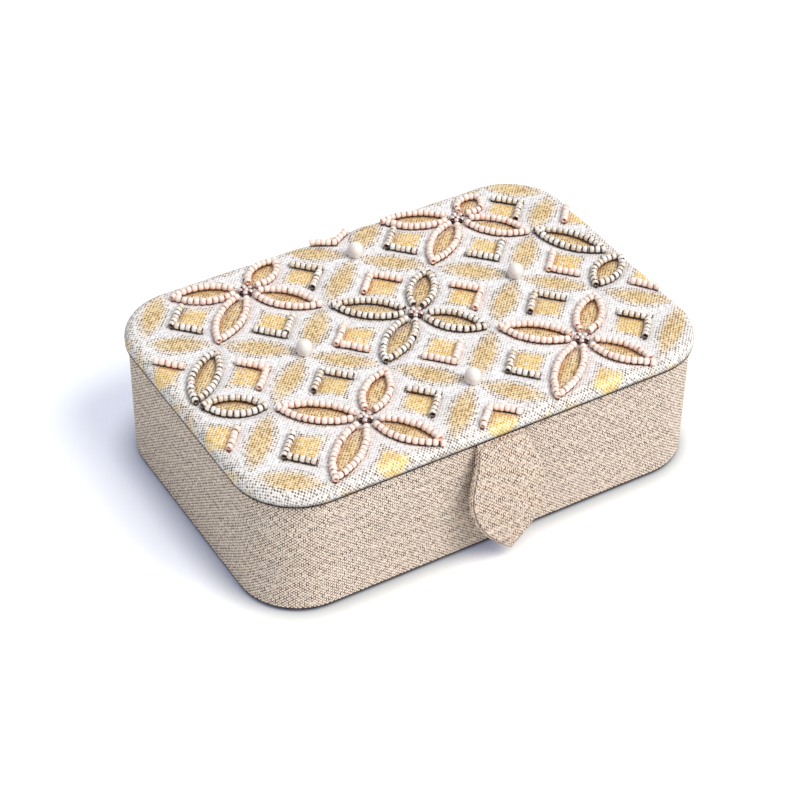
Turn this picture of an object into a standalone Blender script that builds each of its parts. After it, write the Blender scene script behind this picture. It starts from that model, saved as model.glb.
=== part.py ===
"""A cloth-covered keepsake box for a deck of cards.

The base is a bent board ring on a floor board, wrapped in linen and lined. The lid is a padded
board under an embroidered cloth with sewn beads and pearls, and it turns on a cloth hinge at the
back. A pointed flap with a magnet hangs from the lid's front edge. Metres, +Z up. The origin is
the middle of the underside, X runs along the front, and -Y is the front.
"""

import math

import bmesh
import bpy
from mathutils import Matrix, Vector

# Box outside, measured over the wall's linen
BOX_WIDTH = 0.2000
BOX_DEPTH = 0.1360
RIM_HEIGHT = 0.0528
CORNER_RADIUS = 0.0256
CORNER_SEGMENTS = 7

# Layers and the gap that is left for the glue between them
GLUE_GAP = 0.0003
LINEN_THICKNESS = 0.0007
FOLD_RADIUS = 0.0008
TURN_IN_WIDTH = 0.0140

# Base
UNDERSIDE_THICKNESS = 0.0008
UNDERSIDE_INSET = 0.0015
WALL_BOARD_THICKNESS = 0.0025
FLOOR_BOARD_THICKNESS = 0.0025
RIM_TURN_DOWN_HEIGHT = 0.0140
WALL_LINING_THICKNESS = 0.0008
LINING_BELOW_RIM_GAP = 0.0030
FLOOR_PAD_THICKNESS = 0.0030
FLOOR_PAD_EDGE_RADIUS = 0.0016

# Lid
LID_OVERHANG_WIDTH = 0.0014
SEAM_HEIGHT = 0.0010
COVER_THICKNESS = 0.0006
LID_BOARD_THICKNESS = 0.0018
LID_PADDING_THICKNESS = 0.0019
LID_EDGE_WIDTH = 0.0045
LID_EDGE_HEIGHT = 0.0040
LID_EDGE_STEPS = 4
LID_LINING_THICKNESS = 0.0010
LID_LINING_INSET = 0.0010

# Cloth hinge at the back
HINGE_THICKNESS = 0.0004
HINGE_WIDTH = 0.1460
HINGE_HEIGHT = 0.0160
CREASE_GAP = 0.0004

# Closing flap, its outline seen from the front and its bow seen from the side
FLAP_CENTRE_X = -0.0012
FLAP_TOP_WIDTH = 0.0231
FLAP_WIDTH = 0.0341
FLAP_WIDEST_DROP = 0.0224
FLAP_LENGTH = 0.0487
FLAP_POINT_POWER = 2.06
FLAP_SIDE_STEPS = 6
FLAP_POINT_STEPS = 9
FLAP_CLOTH_THICKNESS = 0.0005
FLAP_BOARD_THICKNESS = 0.0010
FLAP_BODY_DROP = 0.0030
FLAP_HINGE_GAP = 0.0004
FLAP_TOP_OUT = 0.0006
FLAP_BOW_DEPTH = 0.0091
FLAP_BOW_POWER = 1.74
STRAP_STEPS = 2

# Magnets in the flap and in the front wall
MAGNET_RADIUS = 0.0050
MAGNET_THICKNESS = 0.0010
FLAP_MAGNET_DROP = 0.0330
WALL_MAGNET_DROP = 0.0338
MAGNET_SIDES = 24
CUT_OVERRUN_LENGTH = 0.0010

# Embroidery: a lattice of crossing circles, its nodes half a repeat apart
LATTICE_STEP_X_SHARE = 0.124
LATTICE_STEP_Y_SHARE = 0.172
LATTICE_CENTRE_X_SHARE = 0.133
LATTICE_CENTRE_Y_SHARE = 0.218
LEFT_EDGE_PULL_SHARE = 0.235
LEFT_EDGE_SKEW_SHARE = 0.064
SQUARE_X_SHARE = 0.355
SQUARE_Y_SHARE = 0.402
BEAD_FIELD_MARGIN = 0.0024
BEAD_PITCH = 0.0024
BEAD_WIDTH = 0.0026
BEAD_HEIGHT = 0.0024
BEAD_NECK_WIDTH = 0.0012
BEAD_NECK_LOW_HEIGHT = 0.0006
BEAD_NECK_TOP_HEIGHT = 0.0017
PETAL_START_RADIUS = 0.0046
PETAL_MOUTH_WIDTH = 0.0030
PETAL_HALF_WIDTH = 0.0048
ROSETTE_RADIUS = 0.0016
ROSETTE_BEADS = 5
ROSETTE_BEAD_SHARE = 0.62
PEARL_RADIUS = 0.0035
PEARL_SEGMENTS = 10
PEARL_RINGS = 7

# Heights and places that follow from the sizes above
UNDER_WALL = UNDERSIDE_THICKNESS + GLUE_GAP
FLOOR_BOARD_LOW = UNDER_WALL + LINEN_THICKNESS + GLUE_GAP
FLOOR_BOARD_HIGH = FLOOR_BOARD_LOW + FLOOR_BOARD_THICKNESS
BOARD_OUTSIDE = LINEN_THICKNESS + GLUE_GAP
BOARD_INSIDE = BOARD_OUTSIDE + WALL_BOARD_THICKNESS
RIM_INSIDE = BOARD_INSIDE + GLUE_GAP + LINEN_THICKNESS
LINING_OUTSIDE = RIM_INSIDE + GLUE_GAP
LINING_INSIDE = LINING_OUTSIDE + WALL_LINING_THICKNESS
LID_LOW = RIM_HEIGHT + SEAM_HEIGHT
LID_BOARD_LOW = LID_LOW + COVER_THICKNESS + GLUE_GAP
LID_BOARD_HIGH = LID_BOARD_LOW + LID_BOARD_THICKNESS
PADDING_LOW = LID_BOARD_HIGH + GLUE_GAP
PADDING_HIGH = PADDING_LOW + LID_PADDING_THICKNESS
LID_HIGH = PADDING_HIGH + GLUE_GAP + COVER_THICKNESS
WALL_FRONT = -BOX_DEPTH / 2
LID_BACK = BOX_DEPTH / 2 + LID_OVERHANG_WIDTH
LID_FRONT = -LID_BACK
HINGE_LEAF_LOW = RIM_HEIGHT + GLUE_GAP
HINGE_LINE_HEIGHT = HINGE_LEAF_LOW + HINGE_THICKNESS / 2
FLAP_HINGE_Y = LID_FRONT - FLAP_HINGE_GAP
FLAP_BOARD_FRONT = FLAP_CLOTH_THICKNESS + GLUE_GAP
FLAP_BOARD_BACK = FLAP_BOARD_FRONT + FLAP_BOARD_THICKNESS
FLAP_BACK_CLOTH_FRONT = FLAP_BOARD_BACK + GLUE_GAP
FLAP_BACK = FLAP_BACK_CLOTH_FRONT + FLAP_CLOTH_THICKNESS
LATTICE_STEP_X = BOX_WIDTH * LATTICE_STEP_X_SHARE
LATTICE_STEP_Y = BOX_DEPTH * LATTICE_STEP_Y_SHARE
LATTICE_CENTRE_X = LATTICE_STEP_X * LATTICE_CENTRE_X_SHARE
LATTICE_CENTRE_Y = LATTICE_STEP_Y * LATTICE_CENTRE_Y_SHARE

COLOURS = {
    "linen": ((0.66, 0.56, 0.47), 0.92, 0.0),
    "cover_cloth": ((0.86, 0.83, 0.78), 0.85, 0.0),
    "lining_cloth": ((0.80, 0.74, 0.66), 0.90, 0.0),
    "board": ((0.45, 0.38, 0.30), 0.95, 0.0),
    "padding": ((0.92, 0.91, 0.88), 0.95, 0.0),
    "magnet": ((0.60, 0.60, 0.62), 0.30, 1.0),
    "blush_beads": ((0.95, 0.72, 0.62), 0.25, 0.0),
    "bronze_beads": ((0.50, 0.38, 0.27), 0.18, 0.4),
    "pearl": ((0.93, 0.91, 0.84), 0.15, 0.0),
}


def material_of(name):
    """The named Principled material, made once."""
    found = bpy.data.materials.get(name)
    if found:
        return found
    colour, roughness, metallic = COLOURS[name]
    made = bpy.data.materials.new(name)
    made.use_nodes = True
    shader = made.node_tree.nodes["Principled BSDF"]
    shader.inputs["Base Color"].default_value = (*colour, 1.0)
    shader.inputs["Roughness"].default_value = roughness
    shader.inputs["Metallic"].default_value = metallic
    return made


def object_from(bm, name, material):
    """Turns a bmesh into a named object with outward normals and smooth round faces."""
    bmesh.ops.recalc_face_normals(bm, faces=bm.faces)
    mesh = bpy.data.meshes.new(name)
    bm.to_mesh(mesh)
    bm.free()
    mesh.shade_smooth()
    mesh.set_sharp_from_angle(angle=math.radians(35))
    mesh.materials.append(material_of(material))
    made = bpy.data.objects.new(name, mesh)
    bpy.context.scene.collection.objects.link(made)
    return made


def box_outline(inset):
    """Points of the box's rounded rectangle moved inwards by inset, all arcs about the same centres."""
    radius = CORNER_RADIUS - inset
    across = BOX_WIDTH / 2 - CORNER_RADIUS
    along = BOX_DEPTH / 2 - CORNER_RADIUS
    points = []
    for quarter, (side_x, side_y) in enumerate(((1, 1), (-1, 1), (-1, -1), (1, -1))):
        for step in range(CORNER_SEGMENTS + 1):
            angle = math.radians(90) * (quarter + step / CORNER_SEGMENTS)
            points.append(
                (side_x * across + radius * math.cos(angle), side_y * along + radius * math.sin(angle))
            )
    return points


def loop_of(bm, points):
    """One new vertex for each point of a closed loop."""
    return [bm.verts.new(point) for point in points]


def skinned(bm, loops, closed=False):
    """Quads from each loop of vertices to the next, and from the last to the first if closed."""
    followers = loops[1:] + loops[:1] if closed else loops[1:]
    for loop, follower in zip(loops, followers):
        for index, corner in enumerate(loop):
            before = index - 1
            bm.faces.new((loop[before], corner, follower[index], follower[before]))


def capped(bm, loops):
    """An end face over the first loop and one over the last."""
    bm.faces.new(loops[0])
    bm.faces.new(loops[-1])


def carried_round(name, profile, material, closed=False):
    """Carries a profile of (inset, height) points round the box's outline.

    A closed profile gives a ring. An open one gives a panel or a tray, filled at both ends.
    """
    bm = bmesh.new()
    loops = [
        loop_of(bm, [(x, y, height) for x, y in box_outline(inset)]) for inset, height in profile
    ]
    skinned(bm, loops, closed)
    if not closed:
        capped(bm, loops)
    return object_from(bm, name, material)


def strip_along_x(name, width, middle, thickness, material):
    """A cloth strip of that width along X whose section follows the middle line of (y, z) points."""
    sides = ([], [])
    for index, point in enumerate(middle):
        before = Vector(middle[max(index - 1, 0)])
        after = Vector(middle[min(index + 1, len(middle) - 1)])
        along = (after - before).normalized()
        across = Vector((-along.y, along.x)) * thickness / 2
        sides[0].append(Vector(point) + across)
        sides[1].append(Vector(point) - across)
    section = sides[0] + sides[1][::-1]
    bm = bmesh.new()
    verts = [bm.verts.new((-width / 2, y, z)) for y, z in section]
    face = bm.faces.new(verts)
    swept = bmesh.ops.extrude_face_region(bm, geom=[face])["geom"]
    moved = [item for item in swept if isinstance(item, bmesh.types.BMVert)]
    bmesh.ops.translate(bm, verts=moved, vec=(width, 0, 0))
    return object_from(bm, name, material)


def disc_facing_front(name, radius, thickness, centre, material, tilt=0):
    """A round disc whose axis runs along Y, or points up from it by the tilt at the front."""
    bm = bmesh.new()
    bmesh.ops.create_cone(
        bm,
        cap_ends=True,
        segments=MAGNET_SIDES,
        radius1=radius,
        radius2=radius,
        depth=thickness,
        matrix=Matrix.Translation(centre) @ Matrix.Rotation(math.radians(90) - tilt, 4, "X"),
    )
    return object_from(bm, name, material)


def cut_away(target, cutter):
    """Subtracts a hidden cutter from the target with a Boolean modifier."""
    cutter.hide_render = True
    cutter.display_type = "WIRE"
    cut = target.modifiers.new("pocket", "BOOLEAN")
    cut.operation = "DIFFERENCE"
    cut.object = cutter


def hang_on(axis, pieces):
    """Parents pieces modelled in the box's frame to an empty on their joint's axis."""
    for piece in pieces:
        piece.data.transform(Matrix.Translation(-axis.location))
        piece.parent = axis


def axis_empty(name, location):
    """An empty that marks a joint's axis, along X through the location."""
    made = bpy.data.objects.new(name, None)
    made.location = location
    bpy.context.scene.collection.objects.link(made)
    return made


def build_base():
    """The walls, floor, linen, lining and the magnet in the front wall."""
    rim_board = RIM_HEIGHT - LINEN_THICKNESS - GLUE_GAP
    carried_round(
        "underside_cloth", [(UNDERSIDE_INSET, 0), (UNDERSIDE_INSET, UNDERSIDE_THICKNESS)], "linen"
    )
    floor_edge = BOARD_INSIDE + GLUE_GAP
    carried_round(
        "floor_board", [(floor_edge, FLOOR_BOARD_LOW), (floor_edge, FLOOR_BOARD_HIGH)], "board"
    )
    wall = carried_round(
        "wall_board",
        [
            (BOARD_OUTSIDE, FLOOR_BOARD_LOW),
            (BOARD_OUTSIDE, rim_board),
            (BOARD_INSIDE, rim_board),
            (BOARD_INSIDE, FLOOR_BOARD_LOW),
        ],
        "board",
        closed=True,
    )
    carried_round(
        "wall_cloth",
        [
            (FOLD_RADIUS, UNDER_WALL),
            (0, UNDER_WALL + FOLD_RADIUS),
            (0, RIM_HEIGHT - FOLD_RADIUS),
            (FOLD_RADIUS, RIM_HEIGHT),
            (RIM_INSIDE - FOLD_RADIUS, RIM_HEIGHT),
            (RIM_INSIDE, RIM_HEIGHT - FOLD_RADIUS),
            (RIM_INSIDE, RIM_HEIGHT - RIM_TURN_DOWN_HEIGHT),
            (RIM_INSIDE - LINEN_THICKNESS, RIM_HEIGHT - RIM_TURN_DOWN_HEIGHT),
            (RIM_INSIDE - LINEN_THICKNESS, RIM_HEIGHT - LINEN_THICKNESS),
            (LINEN_THICKNESS, RIM_HEIGHT - LINEN_THICKNESS),
            (LINEN_THICKNESS, UNDER_WALL + LINEN_THICKNESS),
            (TURN_IN_WIDTH, UNDER_WALL + LINEN_THICKNESS),
            (TURN_IN_WIDTH, UNDER_WALL),
        ],
        "linen",
        closed=True,
    )
    lining_low = FLOOR_BOARD_HIGH + GLUE_GAP
    lining_high = RIM_HEIGHT - LINING_BELOW_RIM_GAP
    carried_round(
        "wall_lining",
        [
            (LINING_OUTSIDE, lining_low),
            (LINING_OUTSIDE, lining_high),
            (LINING_INSIDE, lining_high),
            (LINING_INSIDE, lining_low),
        ],
        "lining_cloth",
        closed=True,
    )
    pad_edge = LINING_INSIDE + GLUE_GAP
    carried_round(
        "floor_pad",
        [
            (pad_edge, lining_low),
            (pad_edge, lining_low + FLOOR_PAD_THICKNESS - FLOOR_PAD_EDGE_RADIUS),
            (pad_edge + FLOOR_PAD_EDGE_RADIUS, lining_low + FLOOR_PAD_THICKNESS),
        ],
        "lining_cloth",
    )
    magnet_height = HINGE_LINE_HEIGHT - WALL_MAGNET_DROP
    board_face = WALL_FRONT + BOARD_OUTSIDE
    disc_facing_front(
        "wall_magnet",
        MAGNET_RADIUS,
        MAGNET_THICKNESS,
        (FLAP_CENTRE_X, board_face + MAGNET_THICKNESS / 2, magnet_height),
        "magnet",
    )
    pocket_depth = MAGNET_THICKNESS + GLUE_GAP
    pocket = disc_facing_front(
        "wall_pocket_cutter",
        MAGNET_RADIUS + GLUE_GAP,
        pocket_depth + CUT_OVERRUN_LENGTH,
        (FLAP_CENTRE_X, board_face + (pocket_depth - CUT_OVERRUN_LENGTH) / 2, magnet_height),
        "board",
    )
    cut_away(wall, pocket)
    outside = BOX_DEPTH / 2 + GLUE_GAP + HINGE_THICKNESS / 2
    strip_along_x(
        "hinge_cloth",
        HINGE_WIDTH,
        [(outside, RIM_HEIGHT - HINGE_HEIGHT), (outside, RIM_HEIGHT)],
        HINGE_THICKNESS,
        "linen",
    )


def lid_edge(inset, high, edge_width, edge_height, drop):
    """Points of the lid's rolled edge, up its quarter ellipse to the flat top.

    They start where the ellipse is drop below the top.
    """
    start = math.asin(1 - drop / edge_height)
    points = []
    for step in range(LID_EDGE_STEPS + 1):
        angle = start + (math.radians(90) - start) * step / LID_EDGE_STEPS
        points.append(
            (
                inset + edge_width * (1 - math.cos(angle)),
                high - edge_height * (1 - math.sin(angle)),
            )
        )
    return points


def build_lid_layers():
    """The lid's board, padding, embroidered cover, lining, hinge leaf and flap tab."""
    cover_edge = lid_edge(
        -LID_OVERHANG_WIDTH, LID_HIGH, LID_EDGE_WIDTH, LID_EDGE_HEIGHT, LID_EDGE_HEIGHT
    )
    cover_inside = -LID_OVERHANG_WIDTH + COVER_THICKNESS
    inner_width = LID_EDGE_WIDTH - COVER_THICKNESS
    inner_height = LID_EDGE_HEIGHT - COVER_THICKNESS
    inside_edge = lid_edge(
        cover_inside, LID_HIGH - COVER_THICKNESS, inner_width, inner_height, inner_height
    )
    cover = carried_round(
        "lid_cover_cloth",
        cover_edge[::-1]
        + [
            (-LID_OVERHANG_WIDTH, LID_LOW + FOLD_RADIUS),
            (FOLD_RADIUS - LID_OVERHANG_WIDTH, LID_LOW),
            (TURN_IN_WIDTH, LID_LOW),
            (TURN_IN_WIDTH, LID_LOW + COVER_THICKNESS),
            (cover_inside, LID_LOW + COVER_THICKNESS),
        ]
        + inside_edge,
        "cover_cloth",
    )
    board_edge = cover_inside + GLUE_GAP
    board = carried_round(
        "lid_board", [(board_edge, LID_BOARD_LOW), (board_edge, LID_BOARD_HIGH)], "board"
    )
    padding_edge = lid_edge(
        board_edge, PADDING_HIGH, inner_width - GLUE_GAP, inner_height - GLUE_GAP, LID_PADDING_THICKNESS
    )
    padding = carried_round("lid_padding", padding_edge, "padding")
    lining_edge = RIM_INSIDE + LID_LINING_INSET
    step_in = TURN_IN_WIDTH + GLUE_GAP
    lining = carried_round(
        "lid_lining_panel",
        [
            (lining_edge, RIM_HEIGHT - LID_LINING_THICKNESS),
            (lining_edge, RIM_HEIGHT),
            (step_in, RIM_HEIGHT),
            (step_in, LID_BOARD_LOW - GLUE_GAP),
        ],
        "lining_cloth",
    )
    leaf_end = BOX_DEPTH / 2 - TURN_IN_WIDTH
    leaf = strip_along_x(
        "lid_hinge_leaf",
        HINGE_WIDTH,
        [(leaf_end, HINGE_LINE_HEIGHT), (LID_BACK - CREASE_GAP, HINGE_LINE_HEIGHT)],
        HINGE_THICKNESS,
        "linen",
    )
    tab = strip_along_x(
        "flap_tab",
        FLAP_TOP_WIDTH,
        [(FLAP_HINGE_Y + CREASE_GAP, HINGE_LINE_HEIGHT), (-leaf_end, HINGE_LINE_HEIGHT)],
        HINGE_THICKNESS,
        "linen",
    )
    tab.data.transform(Matrix.Translation((FLAP_CENTRE_X, 0, 0)))
    return [cover, board, padding, lining, leaf, tab]


def lid_surface(x, y):
    """Height of the cover's outside at a place on the lid, rolled edge included."""
    over_x = abs(x) - (BOX_WIDTH / 2 - CORNER_RADIUS)
    over_y = abs(y) - (BOX_DEPTH / 2 - CORNER_RADIUS)
    beyond_arc_centres = math.hypot(max(over_x, 0), max(over_y, 0)) + min(max(over_x, over_y), 0)
    from_edge = CORNER_RADIUS + LID_OVERHANG_WIDTH - beyond_arc_centres
    share = min(max(1 - from_edge / LID_EDGE_WIDTH, 0), 1)
    return LID_HIGH - LID_EDGE_HEIGHT * (1 - math.sqrt(1 - share * share))


def bead_string(name, places, material, closed=False, size_share=1):
    """A string of touching beads sewn to the lid.

    Each place is (x, y, at_bead). The section is a triangle, its flat side on the cloth, wide and
    tall at a bead's middle and narrow at the neck between two beads.
    """
    bm = bmesh.new()
    loops = []
    points = [Vector((x, y)) for x, y, at_bead in places]
    count = len(places)
    for index, (x, y, at_bead) in enumerate(places):
        before = points[(index - 1) % count if closed else max(index - 1, 0)]
        after = points[(index + 1) % count if closed else min(index + 1, count - 1)]
        along = (after - before).normalized()
        half = (BEAD_WIDTH if at_bead else BEAD_NECK_WIDTH) * size_share / 2
        low = 0 if at_bead else BEAD_NECK_LOW_HEIGHT * size_share
        high = (BEAD_HEIGHT if at_bead else BEAD_NECK_TOP_HEIGHT) * size_share
        across = Vector((-along.y, along.x)) * half
        middle = points[index]
        left, right = middle + across, middle - across
        cloth = max(lid_surface(*left), lid_surface(*right), lid_surface(*middle)) + GLUE_GAP
        section = [(*left, cloth + low), (*right, cloth + low), (*middle, cloth + high)]
        loops.append(loop_of(bm, section))
    skinned(bm, loops, closed)
    if not closed:
        capped(bm, loops)
    return object_from(bm, name, material)


def string_places(start, end, start_at_bead, end_at_bead, bulge=0):
    """Places evenly spaced from start to end, by turns bead and neck.

    They lie on a straight line, or on the arc whose middle stands off the line to its left by
    bulge. The number of places is the one that comes nearest to the beads' pitch.
    """
    chord = end - start
    half = chord.length / 2
    length = chord.length
    if bulge:
        radius = (half * half + bulge * bulge) / (2 * bulge)
        sweep = 2 * math.asin(half / radius)
        length = radius * sweep
    odd = start_at_bead != end_at_bead
    steps = max(2, 2 * round((length / BEAD_PITCH * 2 - odd) / 2) + odd)
    along = chord.normalized()
    left = Vector((-along.y, along.x))
    places = []
    for step in range(steps + 1):
        share = step / steps
        point = start + chord * share
        if bulge:
            angle = sweep * (share - 1 / 2)
            off = radius * math.cos(angle) - (radius - bulge)
            point = start + along * (half + radius * math.sin(angle)) + left * off
        places.append((point.x, point.y, bool((step + start_at_bead) % 2)))
    return places


def lattice_node(column, row):
    """Where circles cross on the lid, counted in half repeats from the middle flower.

    The cloth is pulled towards the front where it goes over the lid's left edge.
    """
    past_third_column = max(0, -column - 3)
    pull = past_third_column * (LEFT_EDGE_PULL_SHARE + LEFT_EDGE_SKEW_SHARE * row) * LATTICE_STEP_Y
    return Vector(
        (
            LATTICE_CENTRE_X + column * LATTICE_STEP_X,
            LATTICE_CENTRE_Y + row * LATTICE_STEP_Y - pull,
        )
    )


def on_the_lid(place):
    """The place, or the nearest one that leaves room for a bead inside the lid's edge."""
    most_x = BOX_WIDTH / 2 + LID_OVERHANG_WIDTH - BEAD_FIELD_MARGIN
    most_y = BOX_DEPTH / 2 + LID_OVERHANG_WIDTH - BEAD_FIELD_MARGIN
    return Vector((max(-most_x, min(most_x, place.x)), max(-most_y, min(most_y, place.y))))


def petal_loop(centre, tip):
    """Places out along a petal's right side to its tip and back along its left side."""
    along = (tip - centre).normalized()
    left = Vector((-along.y, along.x))
    root = centre + along * PETAL_START_RADIUS
    bulge = PETAL_HALF_WIDTH - PETAL_MOUTH_WIDTH / 4
    out = string_places(tip, root - left * PETAL_MOUTH_WIDTH / 2, True, False, bulge)[::-1]
    back = string_places(root + left * PETAL_MOUTH_WIDTH / 2, tip, False, True, bulge)[::-1]
    return out + back[1:]


def flower(name, middle, tips, material):
    """One closed string of beads that goes out round each of four petals and on to the next."""
    centre = lattice_node(*middle)
    petals = [petal_loop(centre, on_the_lid(lattice_node(*tip))) for tip in tips]
    places = []
    for petal, follower in zip(petals, petals[1:] + petals[:1]):
        link = string_places(Vector(petal[-1][:2]), Vector(follower[0][:2]), False, False)
        places += petal + link[1:-1]
    return bead_string(name, places, material, closed=True)


def flower_centre(name, column, row, material):
    """The ring of smaller beads in a flower's middle."""
    centre = lattice_node(column, row)
    places = []
    for step in range(2 * ROSETTE_BEADS):
        angle = math.radians(360) * step / (2 * ROSETTE_BEADS)
        around = centre + Vector((math.cos(angle), math.sin(angle))) * ROSETTE_RADIUS
        places.append((around.x, around.y, bool(step % 2)))
    return bead_string(name, places, material, closed=True, size_share=ROSETTE_BEAD_SHARE)


def lone_petal(name, outer, inner, material):
    """One beaded petal of a flower whose middle lies at the lid's edge."""
    near = on_the_lid(lattice_node(*outer))
    far = lattice_node(*inner)
    one_side = string_places(near, far, True, True, PETAL_HALF_WIDTH)
    other_side = string_places(far, near, True, True, PETAL_HALF_WIDTH)
    return bead_string(name, one_side[:-1] + other_side[:-1], material, closed=True)


def beaded_corner(name, column, row, turns, material):
    """A bead string along one or two sides of a square between petals, through its named corners."""
    centre = lattice_node(column, row)
    half_across = LATTICE_STEP_X * SQUARE_X_SHARE
    half_along = LATTICE_STEP_Y * SQUARE_Y_SHARE
    corners = {
        "left": Vector((-half_across, 0)),
        "right": Vector((half_across, 0)),
        "up": Vector((0, half_along)),
        "down": Vector((0, -half_along)),
    }
    stops = [on_the_lid(centre + corners[turn]) for turn in turns]
    last = len(stops) - 1
    places = string_places(stops[0], stops[1], False, last > 1)
    if last > 1:
        places += string_places(stops[1], stops[2], True, False)[1:]
    return bead_string(name, places, material)


def pearl(name, column, row):
    """A round pearl sewn on where four petals meet."""
    centre = lattice_node(column, row)
    height = lid_surface(*centre) + GLUE_GAP + PEARL_RADIUS
    bm = bmesh.new()
    bmesh.ops.create_uvsphere(
        bm,
        u_segments=PEARL_SEGMENTS,
        v_segments=PEARL_RINGS,
        radius=PEARL_RADIUS,
        matrix=Matrix.Translation((*centre, height)),
    )
    return object_from(bm, name, "pearl")


# Where the beadwork is sewn, in shares of the lattice steps: a flower's middle and its petals'
# tips, a lone petal's two ends, a square's middle and a pearl. The cloth was printed and stretched
# by hand, so none of them lies quite on a whole step.
BLUSH_FLOWER_SHARES = (
    ((-1.987, 1.976), ((-1.206, 2.489), (-3.084, 2.451), (-2.967, 0.989), (-1.148, 1.013))),
    ((2.044, 1.996), ((2.660, 2.373), (0.917, 2.562), (1.050, 1.112), (2.847, 1.034))),
    ((-1.902, -1.963), ((-1.089, -1.114), (-2.932, -1.067), (-2.988, -3.000), (-1.198, -3.114))),
    ((2.024, -1.998), ((2.829, -1.142), (1.075, -1.077), (0.902, -3.037), (2.653, -3.109))),
)
BRONZE_FLOWER_SHARES = (
    (0.092, -0.009),
    ((0.821, 0.897), (-0.948, 0.863), (-0.942, -0.851), (0.846, -0.910)),
)
EDGE_PETAL_SHARES = (
    ((-3.955, -0.008), (-3.143, 0.777)),
    ((-3.889, -0.211), (-3.104, -0.895)),
    ((3.669, -0.105), (3.018, 0.977)),
    ((3.798, -0.397), (3.029, -0.858)),
)
PEARL_SHARES = ((0.040, 1.932), (-1.941, -0.018), (2.013, 0.023), (-0.034, -2.044))
LEFT_TURN = ("up", "left", "down")
RIGHT_TURN = ("up", "right", "down")
TOP_TURN = ("left", "up", "right")
BOTTOM_TURN = ("left", "down", "right")
BRONZE_CORNER_SHARES = (
    (-3.071, 1.765, LEFT_TURN),
    (-1.021, 1.871, RIGHT_TURN),
    (0.970, 1.883, LEFT_TURN),
    (2.863, 1.826, RIGHT_TURN),
    (-1.996, 0.965, BOTTOM_TURN),
    (2.013, 1.024, BOTTOM_TURN),
    (-1.928, -0.970, TOP_TURN),
    (2.036, -0.957, TOP_TURN),
    (-3.032, -2.125, LEFT_TURN),
    (-1.009, -2.059, RIGHT_TURN),
    (0.937, -2.091, LEFT_TURN),
    (2.903, -2.102, RIGHT_TURN),
)
BLUSH_CORNER_SHARES = (
    (-4.081, 0.957, ("up", "right")),
    (-0.012, 0.923, TOP_TURN),
    (3.915, 0.953, ("left", "up")),
    (-2.978, -0.065, RIGHT_TURN),
    (-1.032, -0.077, LEFT_TURN),
    (0.977, -0.012, RIGHT_TURN),
    (2.954, -0.082, LEFT_TURN),
    (-4.040, -0.979, ("right", "down")),
    (-0.027, -1.055, BOTTOM_TURN),
    (3.927, -1.090, ("left", "down")),
    (-0.133, -3.134, TOP_TURN),
    (-0.097, 2.843, BOTTOM_TURN),
)


def build_beadwork():
    """Every flower, petal, corner and pearl that is sewn to the lid's cover."""
    pieces = []
    for number, (middle, tips) in enumerate(BLUSH_FLOWER_SHARES, 1):
        pieces.append(flower(f"blush_flower_{number}", middle, tips, "blush_beads"))
        pieces.append(flower_centre(f"flower_centre_{number}", *middle, "blush_beads"))
    middle, tips = BRONZE_FLOWER_SHARES
    pieces.append(flower("bronze_flower", middle, tips, "bronze_beads"))
    pieces.append(flower_centre("bronze_flower_centre", *middle, "blush_beads"))
    for number, (outer, inner) in enumerate(EDGE_PETAL_SHARES, 1):
        pieces.append(lone_petal(f"bronze_petal_{number}", outer, inner, "bronze_beads"))
    for number, (column, row, turns) in enumerate(BRONZE_CORNER_SHARES, 1):
        pieces.append(
            beaded_corner(f"bronze_corner_{number}", column, row, turns, "bronze_beads")
        )
    for number, (column, row, turns) in enumerate(BLUSH_CORNER_SHARES, 1):
        pieces.append(beaded_corner(f"blush_corner_{number}", column, row, turns, "blush_beads"))
    for number, (column, row) in enumerate(PEARL_SHARES, 1):
        pieces.append(pearl(f"pearl_{number}", column, row))
    return pieces


def flap_half_width(drop):
    """Half the flap's width at a drop below its hinge.

    The sides swell in a smooth step down to the widest place, and then close to the point as one
    minus a power of the share of the way.
    """
    widest = FLAP_WIDTH / 2
    top = FLAP_TOP_WIDTH / 2
    if drop <= FLAP_WIDEST_DROP:
        share = drop / FLAP_WIDEST_DROP
        return top + (widest - top) * (3 - 2 * share) * share * share
    share = (drop - FLAP_WIDEST_DROP) / (FLAP_LENGTH - FLAP_WIDEST_DROP)
    return widest * (1 - share**FLAP_POINT_POWER)


def flap_outline(inset):
    """The flap's outline as (x, z) points below its hinge, moved inwards by inset."""
    swell = FLAP_WIDEST_DROP - FLAP_BODY_DROP
    drops = [
        FLAP_BODY_DROP + swell * step / FLAP_SIDE_STEPS for step in range(FLAP_SIDE_STEPS)
    ]
    drops += [
        FLAP_WIDEST_DROP + (FLAP_LENGTH - FLAP_WIDEST_DROP) * step / FLAP_POINT_STEPS
        for step in range(FLAP_POINT_STEPS)
    ]
    side = [Vector((flap_half_width(drop), -drop)) for drop in drops]
    tip = Vector((0, -FLAP_LENGTH))
    whole = [Vector((-point.x, point.y)) for point in side] + [tip] + side[::-1]
    count = len(whole)
    moved = []
    for index, point in enumerate(whole):
        before = (point - whole[index - 1]).normalized()
        after = (whole[(index + 1) % count] - point).normalized()
        inward_before = Vector((-before.y, before.x))
        inward_after = Vector((-after.y, after.x))
        mitre = (inward_before + inward_after).normalized()
        moved.append(point + mitre * inset / mitre.dot(inward_after))
    return moved


def flap_front(drop):
    """How far the bowed front face stands out of the hinge line at a drop, and its angle there.

    It swings out below the lid's edge and ends upright: one minus a power of the share left.
    """
    left = max(1 - drop / FLAP_LENGTH, 0)
    out = FLAP_TOP_OUT + FLAP_BOW_DEPTH * (1 - left**FLAP_BOW_POWER)
    slope = FLAP_BOW_DEPTH / FLAP_LENGTH * FLAP_BOW_POWER * left ** (FLAP_BOW_POWER - 1)
    return out, math.atan(slope)


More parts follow.
